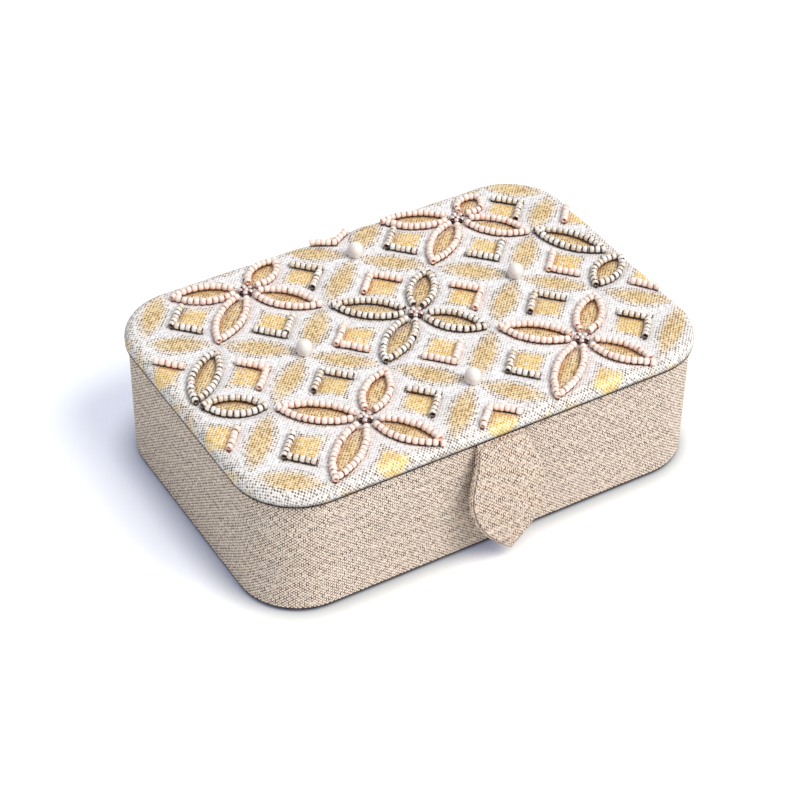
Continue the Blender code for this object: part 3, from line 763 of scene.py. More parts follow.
@dataclass(frozen=True)
class CoverFinish:
    """The lid's cloth: coarse linen with white printed bands round gold petals and squares.

    The print follows a UV map in lattice steps. Turned by 45 degrees, circles' crossings fall on
    whole numbers, each petal lies along an edge between two of them, and each square in the
    middle of four. Between the gold and the white a ring of bare cloth is left.
    """

    name: str = "embroidered_cover"
    white: tuple = paint(252, 250, 249)
    white_blotch: tuple = paint(208, 207, 212)
    white_gap: tuple = paint(204, 198, 198)
    bare: tuple = paint(250, 242, 234)
    bare_gap: tuple = paint(116, 104, 94)
    gold: tuple = paint(240, 208, 146)
    gold_gap: tuple = paint(150, 113, 62)
    gold_crown: tuple = paint(255, 246, 214)
    foil: tuple = paint(248, 218, 144)
    foil_gap: tuple = paint(202, 158, 84)
    # Painted shade, with a painted orange reflection of the beads, on the gold beside the strings.
    gold_bead_shade: tuple = paint(190, 116, 36)
    # Painted shade under the beads' overhang, where they touch the cloth.
    contact_shade: tuple = paint(44, 16, 4)
    # Painted shade along the lid's lower fold, where it meets the wall.
    seam_shade: tuple = paint(22, 14, 10)
    # Grey lines painted as the shade of creases in the printed cloth.
    crease_shade: tuple = paint(170, 168, 170)
    weave: Weave = Weave(0.00073, 0.00080, 0.15)
    bare_petal: tuple = (0.4545, 0.188)
    gold_petal: tuple = (0.420, 0.120)
    gold_petal_edge: float = 0.042
    gold_fade: float = 4.6
    bare_square: float = 0.199
    bare_square_hollow: float = 0.6
    gold_square: float = 0.152
    gold_square_round: float = 0.046
    gold_square_edge: float = 0.036
    white_edge: tuple = (-0.010, 0.012)
    solid_range: tuple = (-0.78, 0.12)
    crown_range: tuple = (0.45, 0.90)
    # How far from the strings the painted shade and reflection on the gold reach.
    bead_shade_reach: tuple = (0.0029, 0.0013)
    # How far from the strings the dark painted shade under the beads reaches.
    contact_shade_reach: tuple = (0.0010, 0.0007)
    crease_off: float = 0.022
    crease_width: tuple = (0.012, 0.004)
    crease_length: tuple = (0.26, 0.18)
    depth: float = 0.00016

    @staticmethod
    def lens(graph: Graph, s: Wire, t: Wire, size: tuple) -> Wire:
        """Signed distance to a petal of half length and half width size.

        It is the lens where two circles cross: the distance from the circle's centre, which lies
        off the axis on the far side, less the circle's radius.

        Args:
            graph: The material's graph.
            s: Distance along the petal from its middle.
            t: Distance across it.
            size: Its half length and half width.

        Returns:
            The distance, below 0 inside the petal.
        """
        length, width = size
        off = (length * length - width * width) / (2 * width)
        far = t + off
        return graph.math("SQRT", s * s + far * far) - (off + width)

    def petals(self, graph: Graph, along: Wire, across: Wire) -> tuple[Wire, Wire]:
        """How far a place is outside the bare petals, and how much gold they have there.

        Args:
            graph: The material's graph.
            along: The coordinate along the petals.
            across: The one across them.

        Returns:
            The distance outside them, and the share of gold.
        """
        s = graph.math("FRACT", along) - 0.5
        t = graph.off_whole(across)
        edge = self.lens(graph, s, t, self.gold_petal)
        gold = graph.ease(edge, self.gold_petal_edge, -self.gold_petal_edge)
        fade = 1.0 - s * s * self.gold_fade
        return self.lens(graph, s, t, self.bare_petal), gold * graph.most(fade, 0.0)

    def squares(self, graph: Graph, first: Wire, second: Wire) -> tuple[Wire, Wire]:
        """How far a place is outside the bare squares, and how much gold they have there.

        Args:
            graph: The material's graph.
            first: One turned coordinate.
            second: The other.

        Returns:
            The distance outside them, and the share of gold.
        """
        p, q = (abs(graph.math("FRACT", value) - 0.5) for value in (first, second))
        shorter = graph.least(p, q)
        hollow = shorter * shorter * self.bare_square_hollow
        bare = graph.most(p, q) - hollow - self.bare_square
        straight = self.gold_square - self.gold_square_round
        over_p, over_q = (graph.most(value - straight, 0.0) for value in (p, q))
        edge = graph.math("SQRT", over_p * over_p + over_q * over_q) - self.gold_square_round
        return bare, graph.ease(edge, self.gold_square_edge, -self.gold_square_edge)

    def creases(self, graph: Graph, column: Wire, row: Wire) -> Wire:
        """Grey double lines painted as the shade of creases in the printed cloth, across every
        second crossing.

        Args:
            graph: The material's graph.
            column: The lattice's columns.
            row: Its rows.

        Returns:
            The share of the grey lines painted as the shade of creases.
        """
        off, away = (graph.off_whole((value + 1.0) * 0.5) * 2.0 for value in (column, row))
        lines = graph.ease(abs(off - self.crease_off), *self.crease_width)
        return lines * graph.ease(away, *self.crease_length)

    def material(self) -> Material:
        """Builds the cover's material.

        Returns:
            The material.
        """
        graph = MaterialGraph(self.name)
        cloth = graph.uv("cloth")
        column, row = graph.split(graph.uv("lattice"))
        first = (column + row) * 0.5
        second = (column - row) * 0.5
        threads = self.weave.build(graph, cloth)
        one_bare, one_gold = self.petals(graph, first, second)
        two_bare, two_gold = self.petals(graph, second, first)
        square_bare, foil = self.squares(graph, first, second)
        outside = graph.least(graph.least(one_bare, two_bare), square_bare)
        ragged = (graph.noise(cloth, 1100) - 0.5) * 0.030
        outside = outside + (ragged + threads.check * 0.004)
        rubbed = 1.0 - graph.mark("rim") * 0.8
        white = graph.ease(outside, *self.white_edge) * rubbed
        grain = graph.noise(cloth, 1500, 2, 0.6)
        speckled = graph.blend(graph.ease(grain, 0.3, 0.6), 0.72, 1.0)
        gold = graph.most(one_gold, two_gold) * speckled
        foil = foil * speckled
        covered = graph.most(gold, foil)
        blotch = graph.ease(graph.noise(cloth, 1000, 3, 0.7), 0.50, 0.72) * 0.8
        thread = graph.mix(white, self.bare, graph.mix(blotch, self.white, self.white_blotch))
        gap = graph.mix(white, self.bare_gap, self.white_gap)
        thread = graph.mix(foil, graph.mix(gold, thread, self.gold), self.foil)
        gap = graph.mix(foil, graph.mix(gold, gap, self.gold_gap), self.foil_gap)
        loose = (threads.tone - 0.5) * 0.5 + (threads.chance - 0.5) * 1.3
        pale = threads.check + (loose + (grain - 0.5) * 1.4)
        colour = graph.mix(graph.ease(pale, *self.solid_range), gap, thread)
        crown = graph.ease(pale, *self.crown_range) * (1.0 - white) * 0.7
        colour = graph.mix(crown, colour, graph.mix(gold, self.white, self.gold_crown))
        # Painted shade: grey double lines along the creases.
        colour = graph.mix(self.creases(graph, column, row) * 0.6, colour, self.crease_shade)
        near = graph.mark("near") + (grain - 0.5) * 0.0006
        # Painted shade and reflection: the gold near the strings turns orange-brown.
        bead_shade = graph.ease(near, *self.bead_shade_reach) * covered
        colour = graph.mix(bead_shade * 0.54, colour, self.gold_bead_shade)
        # Painted shade: a dark line where the beads overhang the cloth.
        colour = graph.mix(graph.ease(near, *self.contact_shade_reach) * 0.85, colour, self.contact_shade)
        # Painted shade: the mark read here darkens the cover and takes off its gloss round the
        # lid's lower fold.
        fold_shade = graph.mark("fold_shade")
        graph.set(
            Base_Color=graph.mix(fold_shade, colour, self.seam_shade),
            Metallic=covered * 0.22,
            Roughness=graph.blend(covered, 0.88, 0.46),
            Specular_IOR_Level=graph.blend(fold_shade, 0.3, 0.0),
        )
        fuzz = graph.noise(cloth, 2600, 1) * 0.4
        flat = graph.blend(graph.most(white, foil), 1.0, 0.55)
        graph.bump((threads.height + fuzz) * flat, self.depth)
        return graph.material


@dataclass(frozen=True)
class LiningFinish:
    """Fine lining cloth inside the box."""

    name: str = "lining"
    light: tuple = paint(232, 222, 206)
    shade: tuple = paint(206, 192, 172)
    hole: tuple = paint(160, 144, 122)
    weave: Weave = Weave(0.00042, 0.00042, 0.2)

    def material(self) -> Material:
        """Builds the lining's material.

        Returns:
            The material.
        """
        graph = MaterialGraph(self.name)
        threads = self.weave.build(graph, graph.uv("cloth"))
        thread = graph.mix(threads.tone, self.shade, self.light)
        colour = graph.mix(graph.ease(threads.height, 0.1, 0.5), self.hole, thread)
        graph.set(Base_Color=colour, Roughness=0.85, Sheen_Weight=0.15)
        graph.bump(threads.height, 0.00008)
        return graph.material


@dataclass(frozen=True)
class BoardFinish:
    """Raw grey board with flecks of fibre, on the frame's own boards."""

    name: str = "grey_board"
    light: tuple = paint(170, 158, 142)
    dark: tuple = paint(132, 120, 104)

    def material(self) -> Material:
        """Builds the board's material.

        Returns:
            The material.
        """
        graph = MaterialGraph(self.name)
        place = graph.place()
        fleck = graph.ease(graph.noise(place, 1400, 4, 0.6), 0.4, 0.62)
        share = fleck * graph.noise(place, 120, 3)
        graph.set(Base_Color=graph.mix(share, self.light, self.dark), Roughness=0.93)
        graph.bump(graph.noise(place, 2200), 0.00005)
        return graph.material


@dataclass(frozen=True)
class FoamFinish:
    """Thin white foam with small cells."""

    name: str = "foam"
    light: tuple = paint(244, 242, 236)
    cell: tuple = paint(206, 202, 192)

    def material(self) -> Material:
        """Builds the foam's material.

        Returns:
            The material.
        """
        graph = MaterialGraph(self.name)
        cells = graph.noise(graph.place(), 1800, 3, 0.7)
        colour = graph.mix(graph.ease(cells, 0.5, 0.7), self.light, self.cell)
        graph.set(Base_Color=colour, Roughness=0.95)
        graph.bump(cells, 0.0001)
        return graph.material


@dataclass(frozen=True)
class SteelFinish:
    """Plated steel of the magnets, finely brushed."""

    name: str = "plated_steel"
    light: tuple = paint(206, 206, 210)
    shade: tuple = paint(176, 176, 182)

    def material(self) -> Material:
        """Builds the plating's material.

        Returns:
            The material.
        """
        graph = MaterialGraph(self.name)
        scratches = graph.noise(graph.place(), 900, 4, 0.7)
        colour = graph.mix(scratches, self.shade, self.light)
        graph.set(Base_Color=colour, Metallic=1.0, Roughness=graph.blend(scratches, 0.2, 0.38))
        return graph.material


@dataclass(frozen=True)
class BeadFinish:
    """Seed beads: each has its own tone, painted shade down its lower sides, and more painted shade
    towards its bore and the ends where beads touch.
    """

    name: str
    light: tuple
    shade: tuple
    # The next two colours are painted shade: down the lower sides, and towards the bore and the
    # ends where beads touch.
    flank_shade: tuple
    bore: tuple
    metallic: float
    roughness: float
    coat: float = 0.5
    bore_shade_range: tuple = (0.35, 1.0)
    flank_shade_range: tuple = (0.15, 0.55)

    def material(self) -> Material:
        """Builds the beads' material.

        Returns:
            The material.
        """
        graph = MaterialGraph(self.name)
        glaze = graph.mix(graph.mark("tone"), self.shade, self.light)
        glaze = graph.mix(graph.noise(graph.place(), 1500, 1) * 0.3, glaze, self.shade)
        # Painted shade: darker down the lower sides, and darker again towards the bore and the ends
        # where beads touch.
        glaze = graph.mix(graph.ease(graph.mark("flank_shade"), *self.flank_shade_range), glaze, self.flank_shade)
        depth = graph.ease(graph.mark("bore"), *self.bore_shade_range)
        graph.set(
            Base_Color=graph.mix(depth, glaze, self.bore),
            Metallic=self.metallic,
            Roughness=self.roughness,
            Coat_Weight=self.coat,
            Coat_Roughness=0.08,
        )
        return graph.material


BLUSH = BeadFinish(
    "blush_glaze",
    light=paint(255, 243, 236),
    shade=paint(255, 229, 216),
    flank_shade=paint(244, 198, 174),
    bore=paint(234, 174, 146),
    metallic=0.0,
    roughness=0.25,
    flank_shade_range=(0.35, 0.95),
)
# The near-white tones are partly the silver lining's own colour and partly its glints as painted
# highlight; the dark sides and ends are painted shade.
BRONZE = BeadFinish(
    "bronze_lined",
    light=paint(255, 252, 248),
    shade=paint(232, 212, 190),
    flank_shade=paint(134, 98, 72),
    bore=paint(78, 50, 36),
    metallic=0.15,
    roughness=0.16,
    coat=0.8,
    bore_shade_range=(0.36, 0.80),
    flank_shade_range=(0.52, 0.86),
)
SILVER = BeadFinish(
    "rose_silver",
    light=paint(240, 220, 214),
    shade=paint(212, 186, 180),
    flank_shade=paint(150, 116, 112),
    bore=paint(96, 64, 62),
    metallic=0.5,
    roughness=0.18,
    bore_shade_range=(0.3, 1.0),
)


@dataclass(frozen=True)
class PearlFinish:
    """Pearl lustre: cloudy cream-grey, pinkish-grey at the drilled sides, under a clear coat."""

    name: str = "pearl_lustre"
    light: tuple = paint(250, 248, 240)
    shade: tuple = paint(232, 229, 218)
    blush: tuple = paint(220, 207, 206)

    def material(self) -> Material:
        """Builds the pearl's material.

        Returns:
            The material.
        """
        graph = MaterialGraph(self.name)
        body = graph.mix(graph.noise(graph.place(), 420), self.shade, self.light)
        graph.set(
            Base_Color=graph.mix(graph.ease(graph.mark("side"), 0.2, 0.8), body, self.blush),
            Roughness=0.2,
            Coat_Weight=1.0,
            Coat_Roughness=0.07,
            Coat_IOR=1.9,
        )
        return graph.material


@dataclass(frozen=True)
class FloorFinish:
    """A white floor: plain white to the camera far out, with a bluish shadow kept by the box."""

    name: str = "studio_floor"
    tight: float = 0.014
    plain: tuple = (0.90, 0.91, 0.93, 1.0)
    seen_lit: tuple = (0.98, 0.98, 0.80, 1.0)
    seen_glow: tuple = (0.25, 0.27, 0.46, 1.0)

    def material(self) -> Material:
        """Builds the floor's material.

        Returns:
            The material.
        """
        graph = MaterialGraph(self.name)
        graph.nodes.remove(graph.shader)
        feeds = {"Distance": self.tight, "Color": self.seen_lit}
        close = graph.node("AmbientOcclusion", "Color", feeds, samples=8)
        lit = graph.node("BsdfDiffuse", 0, {"Color": close})
        feeds = {"Color": self.seen_glow, "Strength": close.beside("AO")}
        both = graph.node("AddShader", 0, {0: lit, 1: graph.node("Emission", 0, feeds)})
        plain = graph.node("BsdfDiffuse", 0, {"Color": self.plain})
        mixed = graph.node("MixShader", 0, {0: graph.seen(), 1: plain, 2: both})
        graph.feed(graph.nodes["Material Output"].inputs["Surface"], mixed)
        return graph.material


def settle(piece: Piece, body: Body, slot: str, *nodes: str) -> Piece:
    """Puts a finished piece on its body and reports it.

    Args:
        piece: The piece.
        body: The body it rides on.
        slot: The record's material slot.
        nodes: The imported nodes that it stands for.

    Returns:
        The same piece.
    """
    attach(piece, body.value)
    dress(piece, slot, *nodes)
    return piece


def dress(piece: Piece, slot: str, *nodes: str) -> None:
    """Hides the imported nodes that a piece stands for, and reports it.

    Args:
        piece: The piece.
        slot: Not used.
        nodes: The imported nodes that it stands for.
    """
    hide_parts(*nodes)
    LOG.info("%s: %d faces, for %s", piece.name, len(piece.data.polygons), ", ".join(nodes))


def repaint(node: str, material: Material, nodes: dict[str, Piece]) -> None:
    """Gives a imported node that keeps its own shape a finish.

    Args:
        node: The node's name.
        material: The finish.
        nodes: The nodes by name.
    """
    piece = nodes[node]
    piece.data.materials.clear()
    piece.data.materials.append(material)
    LOG.info("%s: repainted with %s", node, material.name)


# The box's base


@dataclass
class BoxBase:
    """Walls wrapped in linen, the lined inside, the sheet under the box and the cloth hinge."""

    width: float = 0.2000
    depth: float = 0.1360
    corner: float = 0.0256
    rim: float = 0.0528
    foot: float = 0.0011
    # How far above the foot fold the painted shade reaches.
    foot_shade_reach: float = 0.0001
    foot_clear: float = 0.0005
    linen: float = 0.0007
    fold_radius: float = 0.0008
    turn_in: float = 0.0140
    rim_turn_down: float = 0.0140
    rim_inside: float = 0.0045
    lining_outside: float = 0.0048
    lining_inside: float = 0.0056
    lining_low: float = 0.0049
    lining_high: float = 0.0498
    pad_edge: float = 0.0059
    pad_high: float = 0.0079
    pad_round: float = 0.0014
    pad_crown: float = 0.0009
    underside_inset: float = 0.0015
    underside_round: float = 0.0002
    underside_thickness: float = 0.0008
    hinge_width: float = 0.1460
    hinge_height: float = 0.0160
    hinge_thickness: float = 0.0004
    hinge_gap: float = 0.0003
    hinge_bend: float = 0.0006
    leaf_end: float = 0.0540
    axis_out: float = 0.0694
    axis_height: float = 0.0533
    outline: RoundedOutline = field(init=False)

    def __post_init__(self) -> None:
        """Works out the walls' outline."""
        self.outline = RoundedOutline(self.width, self.depth, self.corner)

    def ring(self, name: str, profile: Array, fold_shade: Array, material: Material) -> Piece:
        """A closed ring: the profile carried once round the walls, its UV map in metres.

        Args:
            name: The piece's name.
            profile: Its section (m, 2).
            fold_shade: How much painted shade each point of the section takes, from 0 to 1.
            material: Its finish.

        Returns:
            The closed piece.
        """
        middle, normals, walked = self.outline.walk()
        points = carried_round(middle, normals, self.corner, profile)
        up = lengths_along(np.concatenate([profile, profile[:1]]))
        uv = np.stack(np.meshgrid(walked, up), axis=-1)
        marks = {"fold_shade": np.broadcast_to(fold_shade[:, None], points.shape[:2])}
        wraps = {"wrap_rows": True, "wrap_columns": True}
        return grid_piece(name, points, uv, material, **wraps, marks=marks)

    def wall_profile(self) -> Array:
        """The linen's section: turned under at the foot, up the wall and over the rim.

        Returns:
            The section as (inset, height).
        """
        f, t = self.fold_radius, self.linen
        foot = fold(f, self.foot + f, f, 270, 180)
        rim_out = fold(f, self.rim - f, f, 180, 90)
        rim_in = fold(self.rim_inside - f, self.rim - f, f, 90, 0)
        up = np.linspace(foot[-1] + np.array([0.0, self.foot_clear]), rim_out[0], 14)[:-1]
        inner_end = self.rim - self.rim_turn_down
        inner = np.array(
            [
                (self.rim_inside, inner_end),
                (self.rim_inside - t, inner_end),
                (self.rim_inside - t, self.rim - t),
                (t, self.rim - t),
                (t, self.foot + t),
                (self.turn_in, self.foot + t),
                (self.turn_in, self.foot),
            ]
        )
        return np.concatenate([foot, up, rim_out, rim_in, inner])

    def wall_linen(self, linen: Material) -> Piece:
        """The linen round the walls.

        Args:
            linen: Its finish.

        Returns:
            The closed piece.
        """
        profile = self.wall_profile()
        # Painted shade along the fold under the walls' foot, where the box meets the floor.
        low = self.foot + self.fold_radius + self.foot_shade_reach
        fold_shade = np.where((profile[:, 0] < self.rim_inside) & (profile[:, 1] < low), 1.0, 0.0)
        piece = self.ring("wall_linen", profile, fold_shade, linen)
        return settle(piece, Body.BASE, "linen", "wall_cloth")

    def wall_inside(self, lining: Material) -> Piece:
        """The lining of the inner walls, with a small hem rolled at its top.

        Args:
            lining: Its finish.

        Returns:
            The closed piece.
        """
        half = (self.lining_inside - self.lining_outside) / 2
        hem = fold(self.lining_outside + half, self.lining_high - half, half, 180, 0)
        feet = np.array([(x, self.lining_low) for x in (self.lining_outside, self.lining_inside)])
        profile = np.concatenate([feet[:1], hem, feet[1:]])
        piece = self.ring("inner_wall_lining", profile, np.zeros(len(profile)), lining)
        return settle(piece, Body.BASE, "lining_cloth", "wall_lining")

    def floor_cushion(self, lining: Material) -> Piece:
        """The padded lining of the floor: round edges and a low crown.

        Args:
            lining: Its finish.

        Returns:
            The closed piece.
        """
        r = self.pad_round
        edge = fold(self.pad_edge + r, self.pad_high - r, r, 180, 90)
        profile = np.concatenate([[(self.pad_edge, self.lining_low)], edge])
        piece = slab("floor_cushion", self.outline, profile, lining, crown=self.pad_crown)
        settle(piece, Body.BASE, "lining_cloth", "floor_pad")
        return piece

    def underside(self, linen: Material) -> Piece:
        """The cloth sheet that the box stands on, its edge slightly rounded.

        Args:
            linen: Its finish.

        Returns:
            The closed piece.
        """
        edge, r = self.underside_inset, self.underside_round
        profile = np.array([(edge + r, 0.0), (edge, r), (edge, self.underside_thickness)])
        piece = slab("underside_sheet", self.outline, profile, linen)
        return settle(piece, Body.BASE, "linen", "underside_cloth")

    def hinge_middle(self) -> Array:
        """The hinge cloth's middle line: up the back wall, round the axis, in under the lid.

        Returns:
            The line as (y, z).
        """
        out = self.depth / 2 + self.hinge_gap + self.hinge_thickness / 2
        bend = self.hinge_bend
        rise = np.linspace(self.rim - self.hinge_height, self.axis_height - bend, 12)
        wall = np.stack([np.full(12, out), rise], axis=-1)
        wall[-3:, 0] += np.array([0.3, 0.7, 0.95]) * (self.axis_out - out - bend / 2)
        top = [
            (self.axis_out, self.axis_height - bend / 3),
            (self.axis_out - bend, self.axis_height),
        ]
        leaf_y = np.linspace(self.axis_out - 2 * bend, self.leaf_end, 14)
        leaf = np.stack([leaf_y, np.full(14, self.axis_height)], axis=-1)
        return np.concatenate([wall, top, leaf])

    def hinge(self, linen: Material) -> Piece:
        """One strip of linen across the back joint, from the back wall round the hinge axis to
        under the lid.

        Args:
            linen: Its finish.

        Returns:
            The closed piece.
        """
        line = self.hinge_middle()
        piece = strip("hinge_strip", line, 0.0, self.hinge_width, self.hinge_thickness, linen)
        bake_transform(piece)
        dress(piece, "linen", "hinge_cloth", "lid_hinge_leaf")
        return piece

    def build(self, linen: Material, lining: Material) -> None:
        """Builds every piece of the base.

        Args:
            linen: The finish of its outer cloths.
            lining: The finish of its inner ones.
        """
        self.wall_linen(linen)
        self.wall_inside(lining)
        self.floor_cushion(lining)
        self.underside(linen)
        self.hinge(linen)


# The lid


@dataclass(frozen=True)
class Lattice:
    """Where the embroidery's circles cross on the lid, counted in half repeats."""

    step_x: float = 0.0248
    step_y: float = 0.023392
    centre_x: float = 0.0032984
    centre_y: float = 0.0050995
    pull: float = 0.235
    skew: float = 0.064
    square_x: float = 0.355
    square_y: float = 0.402
    most_x: float = 0.0990
    most_y: float = 0.0670

    def node(self, column: float, row: float) -> Array:
        """A crossing's place (2). The cloth is pulled forward where it goes over the left edge.

        Args:
            column: Half repeats to the right.
            row: Half repeats to the back.

        Returns:
            The place (2).
        """
        beyond = max(0.0, -column - 3)
        drag = beyond * (self.pull + self.skew * row) * self.step_y
        return np.array(
            [self.centre_x + column * self.step_x, self.centre_y + row * self.step_y - drag]
        )

    def kept_on(self, place: Array) -> Array:
        """The place, or the nearest one that leaves room for a bead inside the lid's edge."""
        most = np.array([self.most_x, self.most_y])
        return np.clip(place, -most, most)


@dataclass
class PrintedLattice:
    """The print's columns and rows over the unrolled cloth, bent as the stretched cloth bent them.

    Each is a thin-plate surface: a plane, plus for each measured point a weight times r squared
    log r, where r is the distance from it. Lengths inside are in millimetres.
    """

    stiffness: float = 60.0
    points: Array = field(init=False)
    weights: Array = field(init=False)

    def __post_init__(self) -> None:
        """Solves the weights for the measured points."""
        table = np.array(PRINT_POINTS)
        self.points = table[:, 2:]
        count = len(table)
        plane = np.concatenate([np.ones((count, 1)), self.points], axis=1)
        bent = self.bending(self.points) + self.stiffness * np.eye(count)
        system = np.block([[bent, plane], [plane.T, np.zeros((3, 3))]])
        self.weights = np.linalg.solve(system, np.concatenate([table[:, :2], np.zeros((3, 2))]))

    def bending(self, places: Array) -> Array:
        """Half of r squared log r squared, from each place (n, 2) to each measured point.

        Args:
            places: Places in millimetres (n, 2).

        Returns:
            The values (n, points).
        """
        gaps = places[:, None] - self.points[None]
        squares = np.maximum(np.einsum("ijk,ijk->ij", gaps, gaps), 1e-9)
        return 0.5 * squares * np.log(squares)

    def steps(self, places: Array) -> Array:
        """Turns places (..., 2) in metres on the unrolled cloth into (column, row).

        Args:
            places: The places.

        Returns:
            The lattice coordinates (..., 2).
        """
        flat = places.reshape(-1, 2) * 1000
        bent = self.bending(flat) @ self.weights[:-3]
        plane = self.weights[-3] + flat @ self.weights[-2:]
        return (bent + plane).reshape(places.shape)


@dataclass
class PaddedLid:
    """The embroidered cover over its padding, and the lined panel inside."""

    width: float = 0.2000
    depth: float = 0.1360
    corner: float = 0.0256
    overhang: float = 0.0014
    low: float = 0.0538
    high: float = 0.0596
    edge_width: float = 0.0045
    edge_height: float = 0.0040
    fold_radius: float = 0.0008
    turn_in: float = 0.0140
    thickness: float = 0.0006
    puff: float = 0.0006
    puff_reach: float = 0.006
    tuck_depth: float = 0.0006
    tuck_reach: float = 0.0021
    rows_straight: int = 104
    columns: int = 220
    panel_edge: float = 0.0055
    panel_low: float = 0.0518
    panel_rim: float = 0.0528
    panel_step: float = 0.0143
    panel_high: float = 0.0544
    panel_hollow: float = 0.0004
    foam_low: float = 0.0568
    foam_high: float = 0.0585
    foam_roll: float = 0.0017
    foam_gap: float = 0.0006
    slope_step: float = 0.0002
    rim_inside: float = 0.003
    rim_outside: float = 0.004
    # How dark the painted shade is on each point round the cover's lower fold.
    seam_shade_marks: tuple = (0.25, 1.0, 1.0, 1.0, 0.4)
    lattice: Lattice = Lattice()
    printed: PrintedLattice = field(default_factory=PrintedLattice)
    outline: RoundedOutline = field(init=False)

    def __post_init__(self) -> None:
        """Works out the walls' outline, which the lid's insets are counted from."""
        self.outline = RoundedOutline(self.width, self.depth, self.corner)

    def from_edge(self, places: Array) -> Array:
        """How far inside the lid's outermost line places (..., 2) lie.

        Args:
            places: The places.

        Returns:
            The distances, below 0 outside the line.
        """
        over_x = np.abs(places[..., 0]) - (self.width / 2 - self.corner)
        over_y = np.abs(places[..., 1]) - (self.depth / 2 - self.corner)
        beyond = np.hypot(np.maximum(over_x, 0), np.maximum(over_y, 0))
        beyond = beyond + np.minimum(np.maximum(over_x, over_y), 0)
        return self.corner + self.overhang - beyond

    def surface(self, places: Array) -> Array:
        """Height of the cover at places (..., 2): flat, then a quarter ellipse down its edge."""
        share = np.clip(1 - self.from_edge(places) / self.edge_width, 0, 1)
        return self.high - self.edge_height * (1 - np.sqrt(1 - share * share))

    def upward(self, places: Array) -> Array:
        """Directions square to the cover at places (n, 2), from its slopes over a small step.

        Args:
            places: The places.

        Returns:
            The directions (n, 3).
        """
        slopes = [
            (self.surface(places + step) - self.surface(places - step)) / (2 * self.slope_step)
            for step in np.eye(2) * self.slope_step
        ]
        return unit(np.stack([-slopes[0], -slopes[1], np.ones(len(places))], axis=-1))

    def top_grid(self) -> tuple[Array, Array]:
        """The flat top as a grid of rows that narrow with the round corners.

        Along the corners a row's place is the arc's sine and its half width the arc's cosine.

        Returns:
            The places (rows, columns, 2) and the outward normals at the rows' ends (rows, 2).
        """
        radius = self.corner - (self.edge_width - self.overhang)
        across = self.width / 2 - self.corner
        along = self.depth / 2 - self.corner
        arc = np.radians(np.linspace(0, 90, 23))[1:]
        straight = np.linspace(-along, along, self.rows_straight)
        y = np.concatenate(
            [-along - radius * np.sin(arc[::-1]), straight, along + radius * np.sin(arc)]
        )
        narrow = across + radius * np.cos(arc)
        half = np.concatenate([narrow[::-1], np.full(len(straight), across + radius), narrow])
        share = np.linspace(-1, 1, self.columns)
        places = np.stack(np.broadcast_arrays(share[None] * half[:, None], y[:, None]), axis=-1)
        turn = np.concatenate([-arc[::-1], np.zeros(len(straight)), arc])
        return places, circle(turn)

    def edge_profile(self) -> tuple[Array, Array, Array]:
        """The rolled edge from the flat top down, under the lid and back inside.

        Returns:
            The profile as (inset, height), its normals as (outward, up), and how much of the
            cloth's relief is left at each point, from 1 on the flat top to 0 at the fold.
        """
        angle = np.radians(np.linspace(90, 0, 12))
        inset = -self.overhang + self.edge_width * (1 - np.cos(angle))
        height = self.high - self.edge_height * (1 - np.sin(angle))
        f = self.fold_radius
        under = fold(f - self.overhang, self.low + f, f, 180, 270)
        profile = np.concatenate(
            [np.stack([inset, height], axis=-1), under, [(self.turn_in, self.low)]]
        )
        normals = np.zeros_like(profile)
        normals[: len(angle)] = circle(angle)
        return profile, normals, normals[:, 1]

    def relief(self, places: Array, stitches: Array) -> tuple[Array, Array]:
        """How sewn strings pull the padded cloth down, and how it puffs up between them.

        The pull is a bell curve of the distance to the nearest string.

        Args:
            places: Places on the unrolled cloth (..., 2).
            stitches: Points close together along the strings (n, 2).

        Returns:
            The lift along the normal, and the distance to the nearest string.
        """
        flat = places.reshape(-1, 2)
        nearest = np.full(len(flat), np.inf)
        for start in range(0, len(stitches), 64):
            gap = flat[:, None] - stitches[None, start : start + 64]
            nearest = np.minimum(nearest, np.min(np.einsum("ijk,ijk->ij", gap, gap), axis=1))
        nearest = np.sqrt(nearest).reshape(places.shape[:-1])
        pull = np.exp(-((nearest / self.tuck_reach) ** 2))
        puff = self.puff * (1 - np.exp(-((nearest / self.puff_reach) ** 2)))
        return puff - self.tuck_depth * pull, nearest

    def cover(self, stitches: Array, material: Material) -> Piece:
        """The embroidered cover: the top's grid, its rolled edge and the turned-in hem.

        Args:
            stitches: Points close together along the strings (n, 2).
            material: Its finish.

        Returns:
            The piece, thickened inwards.
        """
        top, end_normals = self.top_grid()
        lift, near = self.relief(top, stitches)
        mesh = GridMesh("embroidered_cover", ("cloth", "lattice"))
        points = np.concatenate([top, (self.high + lift)[..., None]], axis=-1)
        rim = np.clip(0.5 - (self.from_edge(top) - self.edge_width) / self.rim_inside, 0, 1)
        marks = {"near": near, "fold_shade": np.zeros_like(near), "rim": rim}
        mesh.add(points, [top, self.printed.steps(top)], marks=marks)
        low_side = np.broadcast_to(np.array([0.0, -1.0]), (top.shape[1] - 1, 2))
        loop = np.concatenate([top[0, :-1], top[:-1, -1], top[-1, :0:-1], top[:0:-1, 0]])
        left = end_normals * np.array([-1.0, 1.0])
        normals = np.concatenate([low_side, end_normals[:-1], -low_side, left[:0:-1]])
        middle = loop - normals * (self.corner - self.edge_width + self.overhang)
        profile, tilt, relief_left = self.edge_profile()
        walked = lengths_along(profile)
        flat = loop[None] + normals[None] * walked[:, None, None]
        lift, near = self.relief(flat, stitches)
        lift = lift * relief_left[:, None]
        edge = carried_round(middle, normals, self.corner, profile)
        edge[..., :2] += normals[None] * (tilt[:, :1] * lift)[..., None]
        edge[..., 2] += tilt[:, 1:] * lift
        closed = np.concatenate([flat, flat[:, :1]], axis=1)
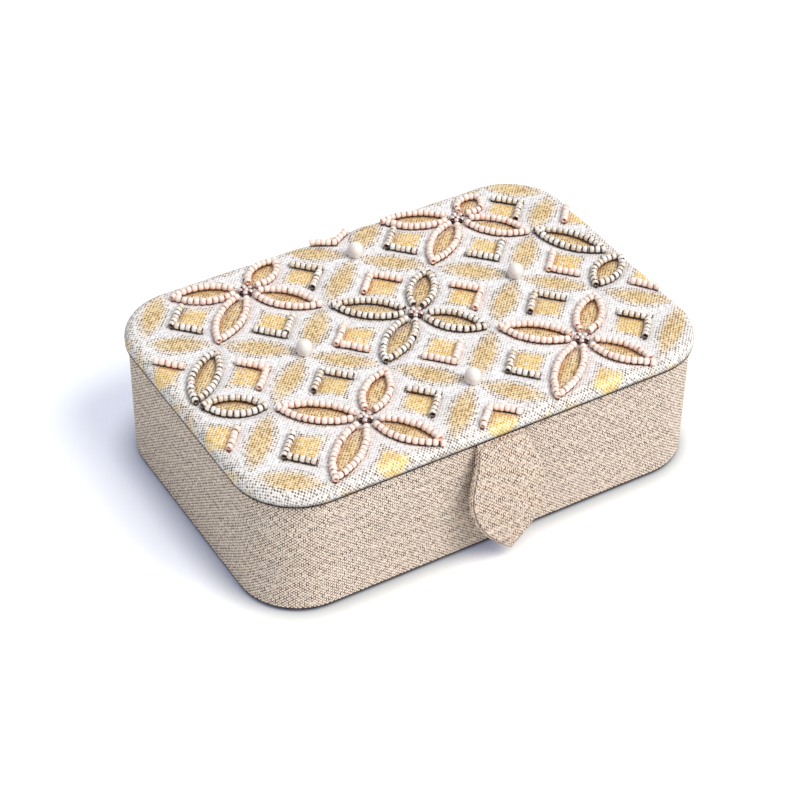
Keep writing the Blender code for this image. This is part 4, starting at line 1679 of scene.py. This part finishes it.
        # Painted shade round the cover's lower fold, where the lid meets the wall.
        turned = np.zeros(len(walked))
        turned[-7:-2] = self.seam_shade_marks
        fold_shade = np.broadcast_to(turned[:, None], near.shape)
        rim = np.clip(0.5 + walked / self.rim_outside, 0, 1)
        rim = np.broadcast_to(rim[:, None], near.shape)
        marks = {"near": near, "fold_shade": fold_shade, "rim": rim}
        mesh.add(edge, [closed, self.printed.steps(closed)], wrap_columns=True, marks=marks)
        piece = mesh.build(material, 60)
        wall = piece.modifiers.new("cloth_thickness", "SOLIDIFY")
        wall.thickness = self.thickness
        wall.offset = -1
        return settle(piece, Body.LID, "cover_cloth", "lid_cover_cloth")

    def panel(self, lining: Material) -> Piece:
        """The lined panel inside the lid, its lower rim rounded over.

        Args:
            lining: Its finish.

        Returns:
            The closed piece.
        """
        r = (self.panel_rim - self.panel_low) / 2
        rim = fold(self.panel_edge + r, self.panel_low + r, r, 270, 90)
        step = [(self.panel_step, self.panel_rim), (self.panel_step, self.panel_high)]
        profile = np.concatenate([rim, step])
        piece = slab("lid_inner_panel", self.outline, profile, lining, hollow=self.panel_hollow)
        return settle(piece, Body.LID, "lining_cloth", "lid_lining_panel")

    def padding(self, foam: Material) -> Piece:
        """The thin foam under the cover, its edge rolled off.

        Args:
            foam: Its finish.

        Returns:
            The closed piece.
        """
        inset = self.thickness - self.overhang + self.foam_gap
        r = self.foam_roll
        roll = fold(inset + r, self.foam_high - r, r, 180, 90)
        profile = np.concatenate([[(inset, self.foam_low)], roll])
        piece = slab("lid_foam", self.outline, profile, foam, rings=9)
        settle(piece, Body.LID, "lid_foam", "lid_padding")
        return piece


# Beads


@dataclass(frozen=True)
class SeedBead:
    """A seed bead: a ring whose section is a rounded bar, its bore along the string.

    The spreads are how far beads stray in size, place and turn. Of a bead's lean out of the
    cloth, the share called levelled is taken off, and its middle stands off the cloth by the
    share called stand of its radius.
    """

    radius: float = 0.00145
    half_length: float = 0.00113
    bore: float = 0.00045
    squareness: float = 0.95
    section_steps: int = 8
    round_steps: int = 10
    size_spread: float = 0.035
    place_spread: float = 0.00009
    turn_spread: float = 0.10
    levelled: float = 0.9
    stand: float = 0.94

    def section(self) -> tuple[Array, Array, Array]:
        """The section as a rounded bar: cosines and sines to the power called squareness.

        Returns:
            Distances along the string, distances from it, and how near the bore each lies.
        """
        angle = np.linspace(0, 2 * math.pi, self.section_steps, endpoint=False)
        wave = circle(angle).T
        rounded = np.sign(wave) * np.abs(wave) ** self.squareness
        middle = (self.radius + self.bore) / 2
        half = (self.radius - self.bore) / 2
        near_bore = np.clip(np.maximum(np.abs(rounded[0]) - 0.2, -rounded[1]), 0, 1)
        return rounded[0] * self.half_length, middle + rounded[1] * half, near_bore


@dataclass(frozen=True)
class BeadRow:
    """A row of beads on the lid: each one's place (n, 2) and the string's direction there."""

    places: Array
    directions: Array

    def part(self, start: int, end: Optional[int]) -> "BeadRow":
        """The beads from start to before end."""
        return BeadRow(self.places[start:end], self.directions[start:end])

    @staticmethod
    def joined(rows: Sequence["BeadRow"]) -> "BeadRow":
        """Several rows, one after another.

        Args:
            rows: The rows.

        Returns:
            All their beads as one row.
        """
        return BeadRow(
            np.concatenate([row.places for row in rows]),
            np.concatenate([row.directions for row in rows]),
        )


def bead_line(
    start: Array, end: Array, start_at_bead: bool, end_at_bead: bool, bulge: float = 0.0
) -> BeadRow:
    """Beads evenly along a line, or along the arc that stands off its left side by bulge.

    The arc's radius is the half chord squared plus the bulge squared, over twice the bulge.

    Args:
        start: Where the string starts (2).
        end: Where it ends (2).
        start_at_bead: Whether a bead sits at the start, rather than a neck between two.
        end_at_bead: Whether a bead sits at the end.
        bulge: The arc's height over its chord.

    Returns:
        The row of beads.
    """
    chord = end - start
    length = float(np.linalg.norm(chord))
    half = length / 2
    along = chord / length
    left = np.array([-along[1], along[0]])
    if bulge:
        radius = (half * half + bulge * bulge) / (2 * bulge)
        sweep = 2 * math.asin(half / radius)
        length = radius * sweep
    odd = start_at_bead != end_at_bead
    steps = max(2, 2 * round((length / BEAD_PITCH * 2 - odd) / 2) + odd)
    share = np.arange(0 if start_at_bead else 1, steps + 1, 2) / steps
    if not bulge:
        places = start + chord * share[:, None]
        return BeadRow(places, np.broadcast_to(along, places.shape))
    angle = (sweep * (share - 0.5))[:, None]
    off = radius * np.cos(angle) - (radius - bulge)
    places = start + along * (half + radius * np.sin(angle)) + left * off
    return BeadRow(places, along * np.cos(angle) - left * np.sin(angle))


@dataclass
class Beadwork:
    """Every string, ring and pearl that is sewn to the lid."""

    lid: PaddedLid
    bead: SeedBead = SeedBead()
    start_radius: float = 0.0046
    mouth: float = 0.0030
    half_width: float = 0.0048
    ring_radius: float = 0.0021
    ring_beads: int = 5
    ring_turn: float = 18
    ring_share: float = 0.86
    stitch_reach: float = 0.0006
    pearl_radius: float = 0.0035
    pearl_stand: float = 0.97
    dimple: float = 0.10
    dimple_width: float = 0.12
    rows: dict[str, BeadRow] = field(default_factory=dict)
    pearls: dict[str, Array] = field(default_factory=dict)

    def petal(self, centre: Array, tip: Array) -> BeadRow:
        """Beads out along a petal's right side to its tip and back along its left side.

        Args:
            centre: The flower's middle (2).
            tip: The petal's tip (2).

        Returns:
            The row.
        """
        along = (tip - centre) / np.linalg.norm(tip - centre)
        left = np.array([-along[1], along[0]])
        root = centre + along * self.start_radius
        bulge = self.half_width - self.mouth / 4
        out = bead_line(tip, root - left * self.mouth / 2, True, False, bulge)
        back = bead_line(root + left * self.mouth / 2, tip, False, True, bulge)
        return BeadRow.joined([out, back.part(0, -1)])

    def flower(self, middle: tuple, tips: tuple) -> BeadRow:
        """Four petals round a flower's middle.

        Args:
            middle: The lattice crossing in its middle.
            tips: The crossings at its tips.

        Returns:
            The row.
        """
        lattice = self.lid.lattice
        centre = lattice.node(*middle)
        return BeadRow.joined(
            [self.petal(centre, lattice.kept_on(lattice.node(*tip))) for tip in tips]
        )

    def lone_petal(self, outer: tuple, inner: tuple) -> BeadRow:
        """One closed petal of a flower whose middle lies at the lid's edge.

        Args:
            outer: The lattice crossing at its outer end.
            inner: The one at its inner end.

        Returns:
            The row.
        """
        lattice = self.lid.lattice
        near = lattice.kept_on(lattice.node(*outer))
        far = lattice.node(*inner)
        sides = ((near, far), (far, near))
        return BeadRow.joined(
            [bead_line(*side, True, True, self.half_width).part(0, -1) for side in sides]
        )

    def half_frame(self, column: float, row: float, turn: Turn) -> BeadRow:
        """Beads along one or two sides of a square, through its named corners.

        Args:
            column: The square's middle across the lattice.
            row: The same along it.
            turn: The corners that the string goes through.

        Returns:
            The row.
        """
        lattice = self.lid.lattice
        centre = lattice.node(column, row)
        across = lattice.step_x * lattice.square_x
        along = lattice.step_y * lattice.square_y
        named = {"left": (-across, 0), "right": (across, 0), "up": (0, along), "down": (0, -along)}
        stops = [lattice.kept_on(centre + np.array(named[stop])) for stop in turn.value]
        if len(stops) == 2:
            return bead_line(stops[0], stops[1], False, False)
        first = bead_line(stops[0], stops[1], False, True)
        second = bead_line(stops[1], stops[2], True, False)
        return BeadRow.joined([first, second.part(1, None)])

    def ring(self, column: float, row: float) -> BeadRow:
        """Beads round a flower's middle and one in it.

        Args:
            column: The flower's middle across the lattice.
            row: The same along it.

        Returns:
            The row.
        """
        centre = self.lid.lattice.node(column, row)
        turns = self.ring_turn + 360 / self.ring_beads * np.arange(self.ring_beads)
        spoke = circle(np.radians(turns))
        places = np.concatenate([centre + spoke * self.ring_radius, centre[None]])
        round_it = np.concatenate([spoke[:, ::-1] * np.array([-1.0, 1.0]), [[1.0, 0.0]]])
        return BeadRow(places, round_it)

    def lay_out(self) -> Array:
        """Works out every row of beads.

        Returns:
            Points close together along all the strings (n, 2): three for each bead.
        """
        for number, (middle, tips) in enumerate(BLUSH_FLOWERS, 1):
            self.rows[f"blush_flower_{number}"] = self.flower(middle, tips)
            self.rows[f"flower_centre_{number}"] = self.ring(*middle)
        middle, tips = BRONZE_FLOWER
        self.rows["bronze_flower"] = self.flower(middle, tips)
        self.rows["bronze_flower_centre"] = self.ring(*middle)
        for number, (outer, inner) in enumerate(EDGE_PETALS, 1):
            self.rows[f"bronze_petal_{number}"] = self.lone_petal(outer, inner)
        for kind, squares in (("bronze", BRONZE_SQUARES), ("blush", BLUSH_SQUARES)):
            for number, square in enumerate(squares, 1):
                self.rows[f"{kind}_corner_{number}"] = self.half_frame(*square)
        for number, place in enumerate(PEARLS, 1):
            self.pearls[f"pearl_{number}"] = self.lid.lattice.node(*place)
        every = BeadRow.joined(list(self.rows.values()))
        reach = every.directions * self.stitch_reach
        return np.concatenate([every.places - reach, every.places, every.places + reach])

    def beads(self, node: str, row: BeadRow, share: float, material: Material) -> Piece:
        """Threads beads on a row: each ring stands on the cloth, a little out of true.

        A bead's place is its centre, plus its section's distance along the string, plus its
        distance from the string turned round it.

        Args:
            node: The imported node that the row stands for.
            row: The row.
            share: The beads' size as a share of the usual one.
            material: Their finish.

        Returns:
            The row as one piece.
        """
        bead = self.bead
        count = len(row.places)
        chance = np.random.default_rng(sum(map(ord, node)))
        along, away, near_bore = bead.section()
        size = share * (1 + chance.normal(0, bead.size_spread, count))
        places = row.places + chance.normal(0, bead.place_spread, (count, 2))
        up = self.lid.upward(places)
        yaw = chance.normal(0, bead.turn_spread, count)
        flat = row.directions
        turned = np.stack(
            [
                flat[:, 0] * np.cos(yaw) - flat[:, 1] * np.sin(yaw),
                flat[:, 0] * np.sin(yaw) + flat[:, 1] * np.cos(yaw),
                chance.normal(0, bead.turn_spread, count),
            ],
            axis=-1,
        )
        lean = np.einsum("ij,ij->i", turned, up)[:, None]
        string = unit(turned - up * lean * bead.levelled)
        side = unit(np.cross(string, up))
        top = np.cross(side, string)
        lift = bead.radius * size * bead.stand
        here = self.lid.surface(places)[:, None]
        centre = np.concatenate([places, here], axis=1) + up * lift[:, None]
        angle = np.linspace(0, 2 * math.pi, bead.round_steps, endpoint=False)
        turn = circle(angle)[None]
        spokes = turn[..., :1] * side[:, None] + turn[..., 1:] * top[:, None]
        scale = size[:, None, None, None]
        points = (
            centre[:, None, None]
            + string[:, None, None] * (along[None, :, None, None] * scale)
            + spokes[:, None] * (away[None, :, None, None] * scale)
        )
        # The bore and side marks carry painted shade: towards the bore and the ends, and down the
        # lower sides.
        marks = {
            "tone": chance.uniform(0, 1, count)[:, None, None],
            "bore": near_bore[None, :, None],
            "flank_shade": (1 - np.sin(angle))[None, None] / 2,
        }
        marks = {name: np.broadcast_to(mark, points.shape[:3]) for name, mark in marks.items()}
        uv = even_grid(bead.section_steps + 1, bead.round_steps + 1)
        options = {"wrap_rows": True, "wrap_columns": True, "marks": marks}
        return grid_piece(f"{node}_beads", points, uv, material, 80, **options)

    def pearl(self, node: str, place: Array, material: Material) -> Piece:
        """A round pearl on a grid of turns and tilts, with a small drilled dimple at each side.

        Args:
            node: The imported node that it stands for.
            place: Where it sits on the lid (2).
            material: Its finish.

        Returns:
            The closed piece.
        """
        tilt = np.linspace(0, math.pi, 25)
        turn = np.linspace(0, 2 * math.pi, 32, endpoint=False)
        sunk = self.dimple * np.exp(-((np.sin(tilt) / self.dimple_width) ** 2))
        radius = self.pearl_radius * (1 - sunk)
        x = np.broadcast_to((radius * np.cos(tilt))[:, None], (len(tilt), len(turn)))
        off = (radius * np.sin(tilt))[:, None]
        height = self.lid.surface(place[None])[0] + self.pearl_radius * self.pearl_stand
        y, z = off * np.cos(turn) + place[1], off * np.sin(turn) + height
        points = np.stack([x + place[0], y, z], axis=-1)
        marks = {"side": np.broadcast_to(np.abs(np.cos(tilt))[:, None], x.shape)}
        uv = even_grid(len(tilt), len(turn) + 1)
        piece = grid_piece(
            f"{node}_ball", points, uv, material, 80, wrap_columns=True, marks=marks
        )
        return settle(piece, Body.LID, "pearls", node)

    def build(self, blush: Material, bronze: Material, silver: Material, pearl: Material) -> None:
        """Builds every row and pearl in its finish.

        Args:
            blush: The finish of the pale strings.
            bronze: The finish of the bronze ones.
            silver: The finish of the flowers' middles.
            pearl: The finish of the pearls.
        """
        for node, row in self.rows.items():
            slot, share, finish = "blush_beads", 1.0, blush
            if "centre" in node:
                share, finish = self.ring_share, silver
            elif node.startswith("bronze"):
                slot, finish = "bronze_beads", bronze
            settle(self.beads(node, row, share, finish), Body.LID, slot, node)
        for node, place in self.pearls.items():
            self.pearl(node, place, pearl)


# The flap


@dataclass
class Flap:
    """The pointed flap: two cloths round a bowed board, and the fold it hangs by."""

    hinge_out: float = -0.0698
    hinge_height: float = 0.0533
    centre_x: float = -0.0012
    top_width: float = 0.0231
    width: float = 0.0341
    widest: float = 0.0224
    length: float = 0.0487
    point_power: float = 2.06
    top_out: float = 0.0006
    bow: float = 0.0091
    bow_power: float = 1.74
    top_gap: float = 0.0003
    edge_radius: float = 0.0008
    # How dark the painted shade is along the front face's creased left side.
    crease_shade: float = 0.85
    body_drop: float = 0.0030
    board_back: float = 0.0021
    back: float = 0.0026
    tuck_inset: float = 0.0004
    tuck_rise: float = 0.0002
    back_insets: tuple = (0.0006, 0.0003, 0.0004, 0.0007)
    back_bevel: float = 0.00015
    tab_end: float = 0.0540
    tab_gap: float = 0.0012
    tab_drop: float = 0.0050
    thickness: float = 0.0004

    def half_width(self, drop: Array) -> Array:
        """Half the flap's width at drops below the hinge.

        A smooth step swells to the widest place, and one minus a power closes to the point.

        Args:
            drop: The drops.

        Returns:
            The half widths, shaped as the drops.
        """
        widest, top = self.width / 2, self.top_width / 2
        rise = np.clip(drop / self.widest, 0, 1)
        swell = top + (widest - top) * (3 - 2 * rise) * rise * rise
        fall = np.clip((drop - self.widest) / (self.length - self.widest), 0, 1)
        return np.where(drop <= self.widest, swell, widest * (1 - fall**self.point_power))

    def place(self, x: Array, drop: Array, depth: Array) -> Array:
        """Points at a depth behind the bowed front face, square to it.

        The face stands out of the hinge line by one minus a power of the share left below.

        Args:
            x: Places across the flap, from its middle.
            drop: Lengths below the hinge line.
            depth: Depths behind the face.

        Returns:
            The points (..., 3).
        """
        left = np.clip(1 - drop / self.length, 0, 1)
        out = self.top_out + self.bow * (1 - left**self.bow_power)
        slope = self.bow / self.length * self.bow_power * left ** (self.bow_power - 1)
        angle = np.arctan(slope)
        y = self.hinge_out - out + depth * np.cos(angle)
        z = self.hinge_height - drop - depth * np.sin(angle)
        return np.stack(np.broadcast_arrays(x + self.centre_x, y, z), axis=-1)

    def edge_line(self, top: float) -> tuple[Array, Array, int]:
        """The flap's edge, from its top left down to the point and up to its top right.

        Args:
            top: The drop at which it starts.

        Returns:
            Its points as (x, drop), its inward normals, and how many points each side has.
        """
        below = (self.length - self.widest) * np.linspace(0, 1, 25)[1:] ** 0.9
        side = np.concatenate([np.linspace(top, self.widest, 22), self.widest + below])
        half = self.half_width(side)
        left, right = np.stack([-half, side], axis=-1), np.stack([half, side], axis=-1)
        outline = np.concatenate([left, right[-2::-1]])
        along = np.gradient(outline, axis=0)
        along[0], along[-1] = (0.2, 1.0), (0.2, -1.0)
        along = unit(along)
        inward = np.stack([along[:, 1], -along[:, 0]], axis=-1)
        inward[0], inward[-1] = (1.0, 1.0), (-1.0, 1.0)
        return outline, inward, len(side)

    def layer(
        self, name: str, profile: Array, top: float, crease_shade: float, material: Material
    ) -> Piece:
        """One layer of the flap: its front and back faces and the rolled edge between them.

        Args:
            name: The piece's name.
            profile: The edge from the front face to the back one, as (inset, depth).
            top: The drop at which the layer starts.
            crease_shade: How dark the painted shade is along the front face's left side, where the
                cloth is creased, 0 for none.
            material: Its finish.

        Returns:
            The closed piece.
        """
        outline, inward, count = self.edge_line(top)
        flat = outline[None] + inward[None] * profile[:, 0][:, None, None]
        share = np.concatenate([[-1.0], np.linspace(-0.955, 0.955, 15), [1.0]])
        mesh = GridMesh(name)

        def sheet(x: Array, drop: Array, depth: Array, uv: tuple, edge_shade_mask: Array) -> None:
            """Adds a grid of the layer."""
            places = self.place(x, drop, depth)
            mesh.add(places, [np.stack(uv, axis=-1)], marks={"fold_shade": edge_shade_mask})

        # The front face's left border takes painted shade along its creased edge.
        for number, dark in ((0, crease_shade), (len(profile) - 1, 0.0)):
            left, right = flat[number, :count], flat[number, count - 1 :][::-1]
            middle, half = (left + right) / 2, (right - left) / 2
            x = middle[:, :1] + half[:, :1] * share
            drop = np.broadcast_to(middle[:, 1:], x.shape)
            edge_shade_mask = np.zeros_like(x)
            edge_shade_mask[:, 0] = dark
            sheet(x, drop, np.full_like(x, profile[number, 1]), (x, -drop), edge_shade_mask)
        x, drop = flat[..., 0], flat[..., 1]
        depth = profile[:, 1:]
        reach = lengths_along(profile)[:, None]
        shift = -inward[None] * reach[..., None] * 0.5
        # The rolled edge's first row on the left side takes the same painted shade.
        edge_shade_mask = np.zeros_like(x)
        edge_shade_mask[0, :count] = crease_shade
        uv = (x + shift[..., 0], -drop - shift[..., 1])
        sheet(x, drop, np.broadcast_to(depth, x.shape), uv, edge_shade_mask)
        left, right = flat[:, :1, 0], flat[:, -1:, 0]
        x = (left + right) / 2 + (right - left) / 2 * share
        drop = np.broadcast_to(flat[:, :1, 1], x.shape)
        sheet(x, drop, np.broadcast_to(depth, x.shape), (x, reach - drop), np.zeros_like(x))
        return mesh.build(material)

    def front(self, linen: Material) -> Piece:
        """The front cloth, rolled over the board's edge, up to the hinge line.

        Args:
            linen: Its finish.

        Returns:
            The closed piece.
        """
        r = self.edge_radius
        tucked = [(0.0, self.board_back - self.tuck_rise), (self.tuck_inset, self.board_back)]
        profile = np.concatenate([fold(r, r, r, 270, 180), tucked])
        piece = self.layer("flap_front", profile, self.top_gap, self.crease_shade, linen)
        return settle(piece, Body.FLAP, "linen", "flap_front_cloth")

    def backing(self, linen: Material) -> Piece:
        """The back cloth, glued on a little inside the front cloth's edge.

        Args:
            linen: Its finish.

        Returns:
            The closed piece.
        """
        near, far = self.board_back, self.back
        depths = (near, near + self.back_bevel, far, far)
        profile = np.stack([self.back_insets, depths], axis=-1)
        piece = self.layer("flap_backing", profile, self.body_drop, 0.0, linen)
        return settle(piece, Body.FLAP, "linen", "flap_back_cloth")

    def hinge_fold(self, linen: Material) -> Piece:
        """The cloth that joins flap and lid: from under the cover round to the flap's back.

        Args:
            linen: Its finish.

        Returns:
            The closed piece.
        """
        inside = np.linspace(-self.tab_end, self.hinge_out + self.tab_gap, 10)
        tab = np.stack([inside, np.full(10, self.hinge_height)], axis=-1)
        drops = np.linspace(self.tab_gap, self.tab_drop, 7)
        down = self.place(np.zeros(7), drops, np.full(7, self.tab_gap))[:, 1:]
        middle = np.concatenate([tab, down])
        width = self.top_width - self.tab_gap
        piece = strip("flap_fold", middle, self.centre_x, width, self.thickness, linen)
        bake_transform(piece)
        dress(piece, "linen", "flap_tab")
        return piece

    def build(self, linen: Material) -> None:
        """Builds the flap's cloths and its fold.

        Args:
            linen: Their finish.
        """
        self.front(linen)
        self.backing(linen)
        self.hinge_fold(linen)


# The studio


@dataclass(frozen=True)
class Studio:
    """A pale floor, soft light from the upper right, and the camera at the photo's angle."""

    eye: tuple = (-0.37471, -0.60894, 0.61585)
    right: tuple = (0.85894, -0.51195, 0.01102)
    up: tuple = (0.32009, 0.55359, 0.76881)
    lens: float = 103.3
    sensor: float = 36.0
    floor_size: float = 6.0
    key_from: tuple = (1.15, -1.85, 2.80)
    key_size: float = 2.30
    key_power: float = 106.0
    key_colour: tuple = (1.0, 0.965, 0.925)
    sky: float = 0.54
    sky_colour: tuple = (0.91, 0.96, 1.03, 1.0)

    def camera(self) -> None:
        """Places the camera by its right and up directions."""
        data = bpy.data.cameras.new("camera")
        data.lens = self.lens
        data.sensor_width = self.sensor
        data.clip_start = 0.01
        data.clip_end = 20
        camera = bpy.data.objects.new("camera", data)
        right, up = Vector(self.right), Vector(self.up)
        turn = Matrix((right, up, right.cross(up))).transposed().to_4x4()
        camera.matrix_world = Matrix.Translation(self.eye) @ turn
        bpy.context.scene.collection.objects.link(camera)
        bpy.context.scene.camera = camera

    def floor(self) -> None:
        """A large flat floor just under the box."""
        side = np.linspace(-self.floor_size / 2, self.floor_size / 2, 3)
        x, y = np.meshgrid(side, side)
        points = np.stack([x, y, np.zeros_like(x)], axis=-1)
        floor = grid_piece("studio_floor", points, points[..., :2], FloorFinish().material())
        if floor.data.polygons[0].normal.z < 0:
            floor.data.flip_normals()

    def light(self) -> None:
        """One large soft lamp, and an even white surround that shows as plain white."""
        data = bpy.data.lights.new("key", "AREA")
        data.shape = "DISK"
        data.size = self.key_size
        data.energy = self.key_power
        data.color = self.key_colour
        lamp = bpy.data.objects.new("key", data)
        aim = Vector(self.key_from)
        turn = aim.to_track_quat("Z", "Y").to_matrix().to_4x4()
        lamp.matrix_world = Matrix.Translation(aim) @ turn
        bpy.context.scene.collection.objects.link(lamp)
        world = bpy.data.worlds.new("surround")
        world.use_nodes = True
        bpy.context.scene.world = world
        graph = Graph(world.node_tree)
        graph.nodes.remove(graph.nodes["Background"])
        around = graph.node("Background", 0, {"Color": self.sky_colour, "Strength": self.sky})
        white = graph.node("Background", 0, {"Color": (1, 1, 1, 1), "Strength": 1.0})
        mixed = graph.node("MixShader", 0, {0: graph.seen(), 1: around, 2: white})
        graph.feed(graph.nodes["World Output"].inputs["Surface"], mixed)

    def build(self) -> None:
        """Builds the camera, floor and light, and keeps the colours as they are written."""
        self.camera()
        self.floor()
        self.light()
        bpy.context.scene.view_settings.view_transform = "Standard"


def main() -> None:
    """Builds the box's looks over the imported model."""
    logging.basicConfig(level=logging.INFO, format="%(name)s: %(message)s")
    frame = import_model()
    Studio().build()
    linen = LinenFinish("natural_linen").material()
    lining = LiningFinish().material()
    BoxBase().build(linen, lining)
    lid = PaddedLid()
    beadwork = Beadwork(lid)
    stitches = beadwork.lay_out()
    lid.cover(stitches, CoverFinish().material())
    lid.panel(lining)
    lid.padding(FoamFinish().material())
    finishes = (BLUSH, BRONZE, SILVER, PearlFinish())
    beadwork.build(*(finish.material() for finish in finishes))
    Flap().build(FLAP_LINEN.material())
    board = BoardFinish().material()
    steel = SteelFinish().material()
    for node in ("floor_board", "wall_board", "lid_board", "flap_board"):
        repaint(node, board, frame["nodes"])
    for node in ("wall_magnet", "flap_magnet"):
        repaint(node, steel, frame["nodes"])


if __name__ == "__main__":
    main()
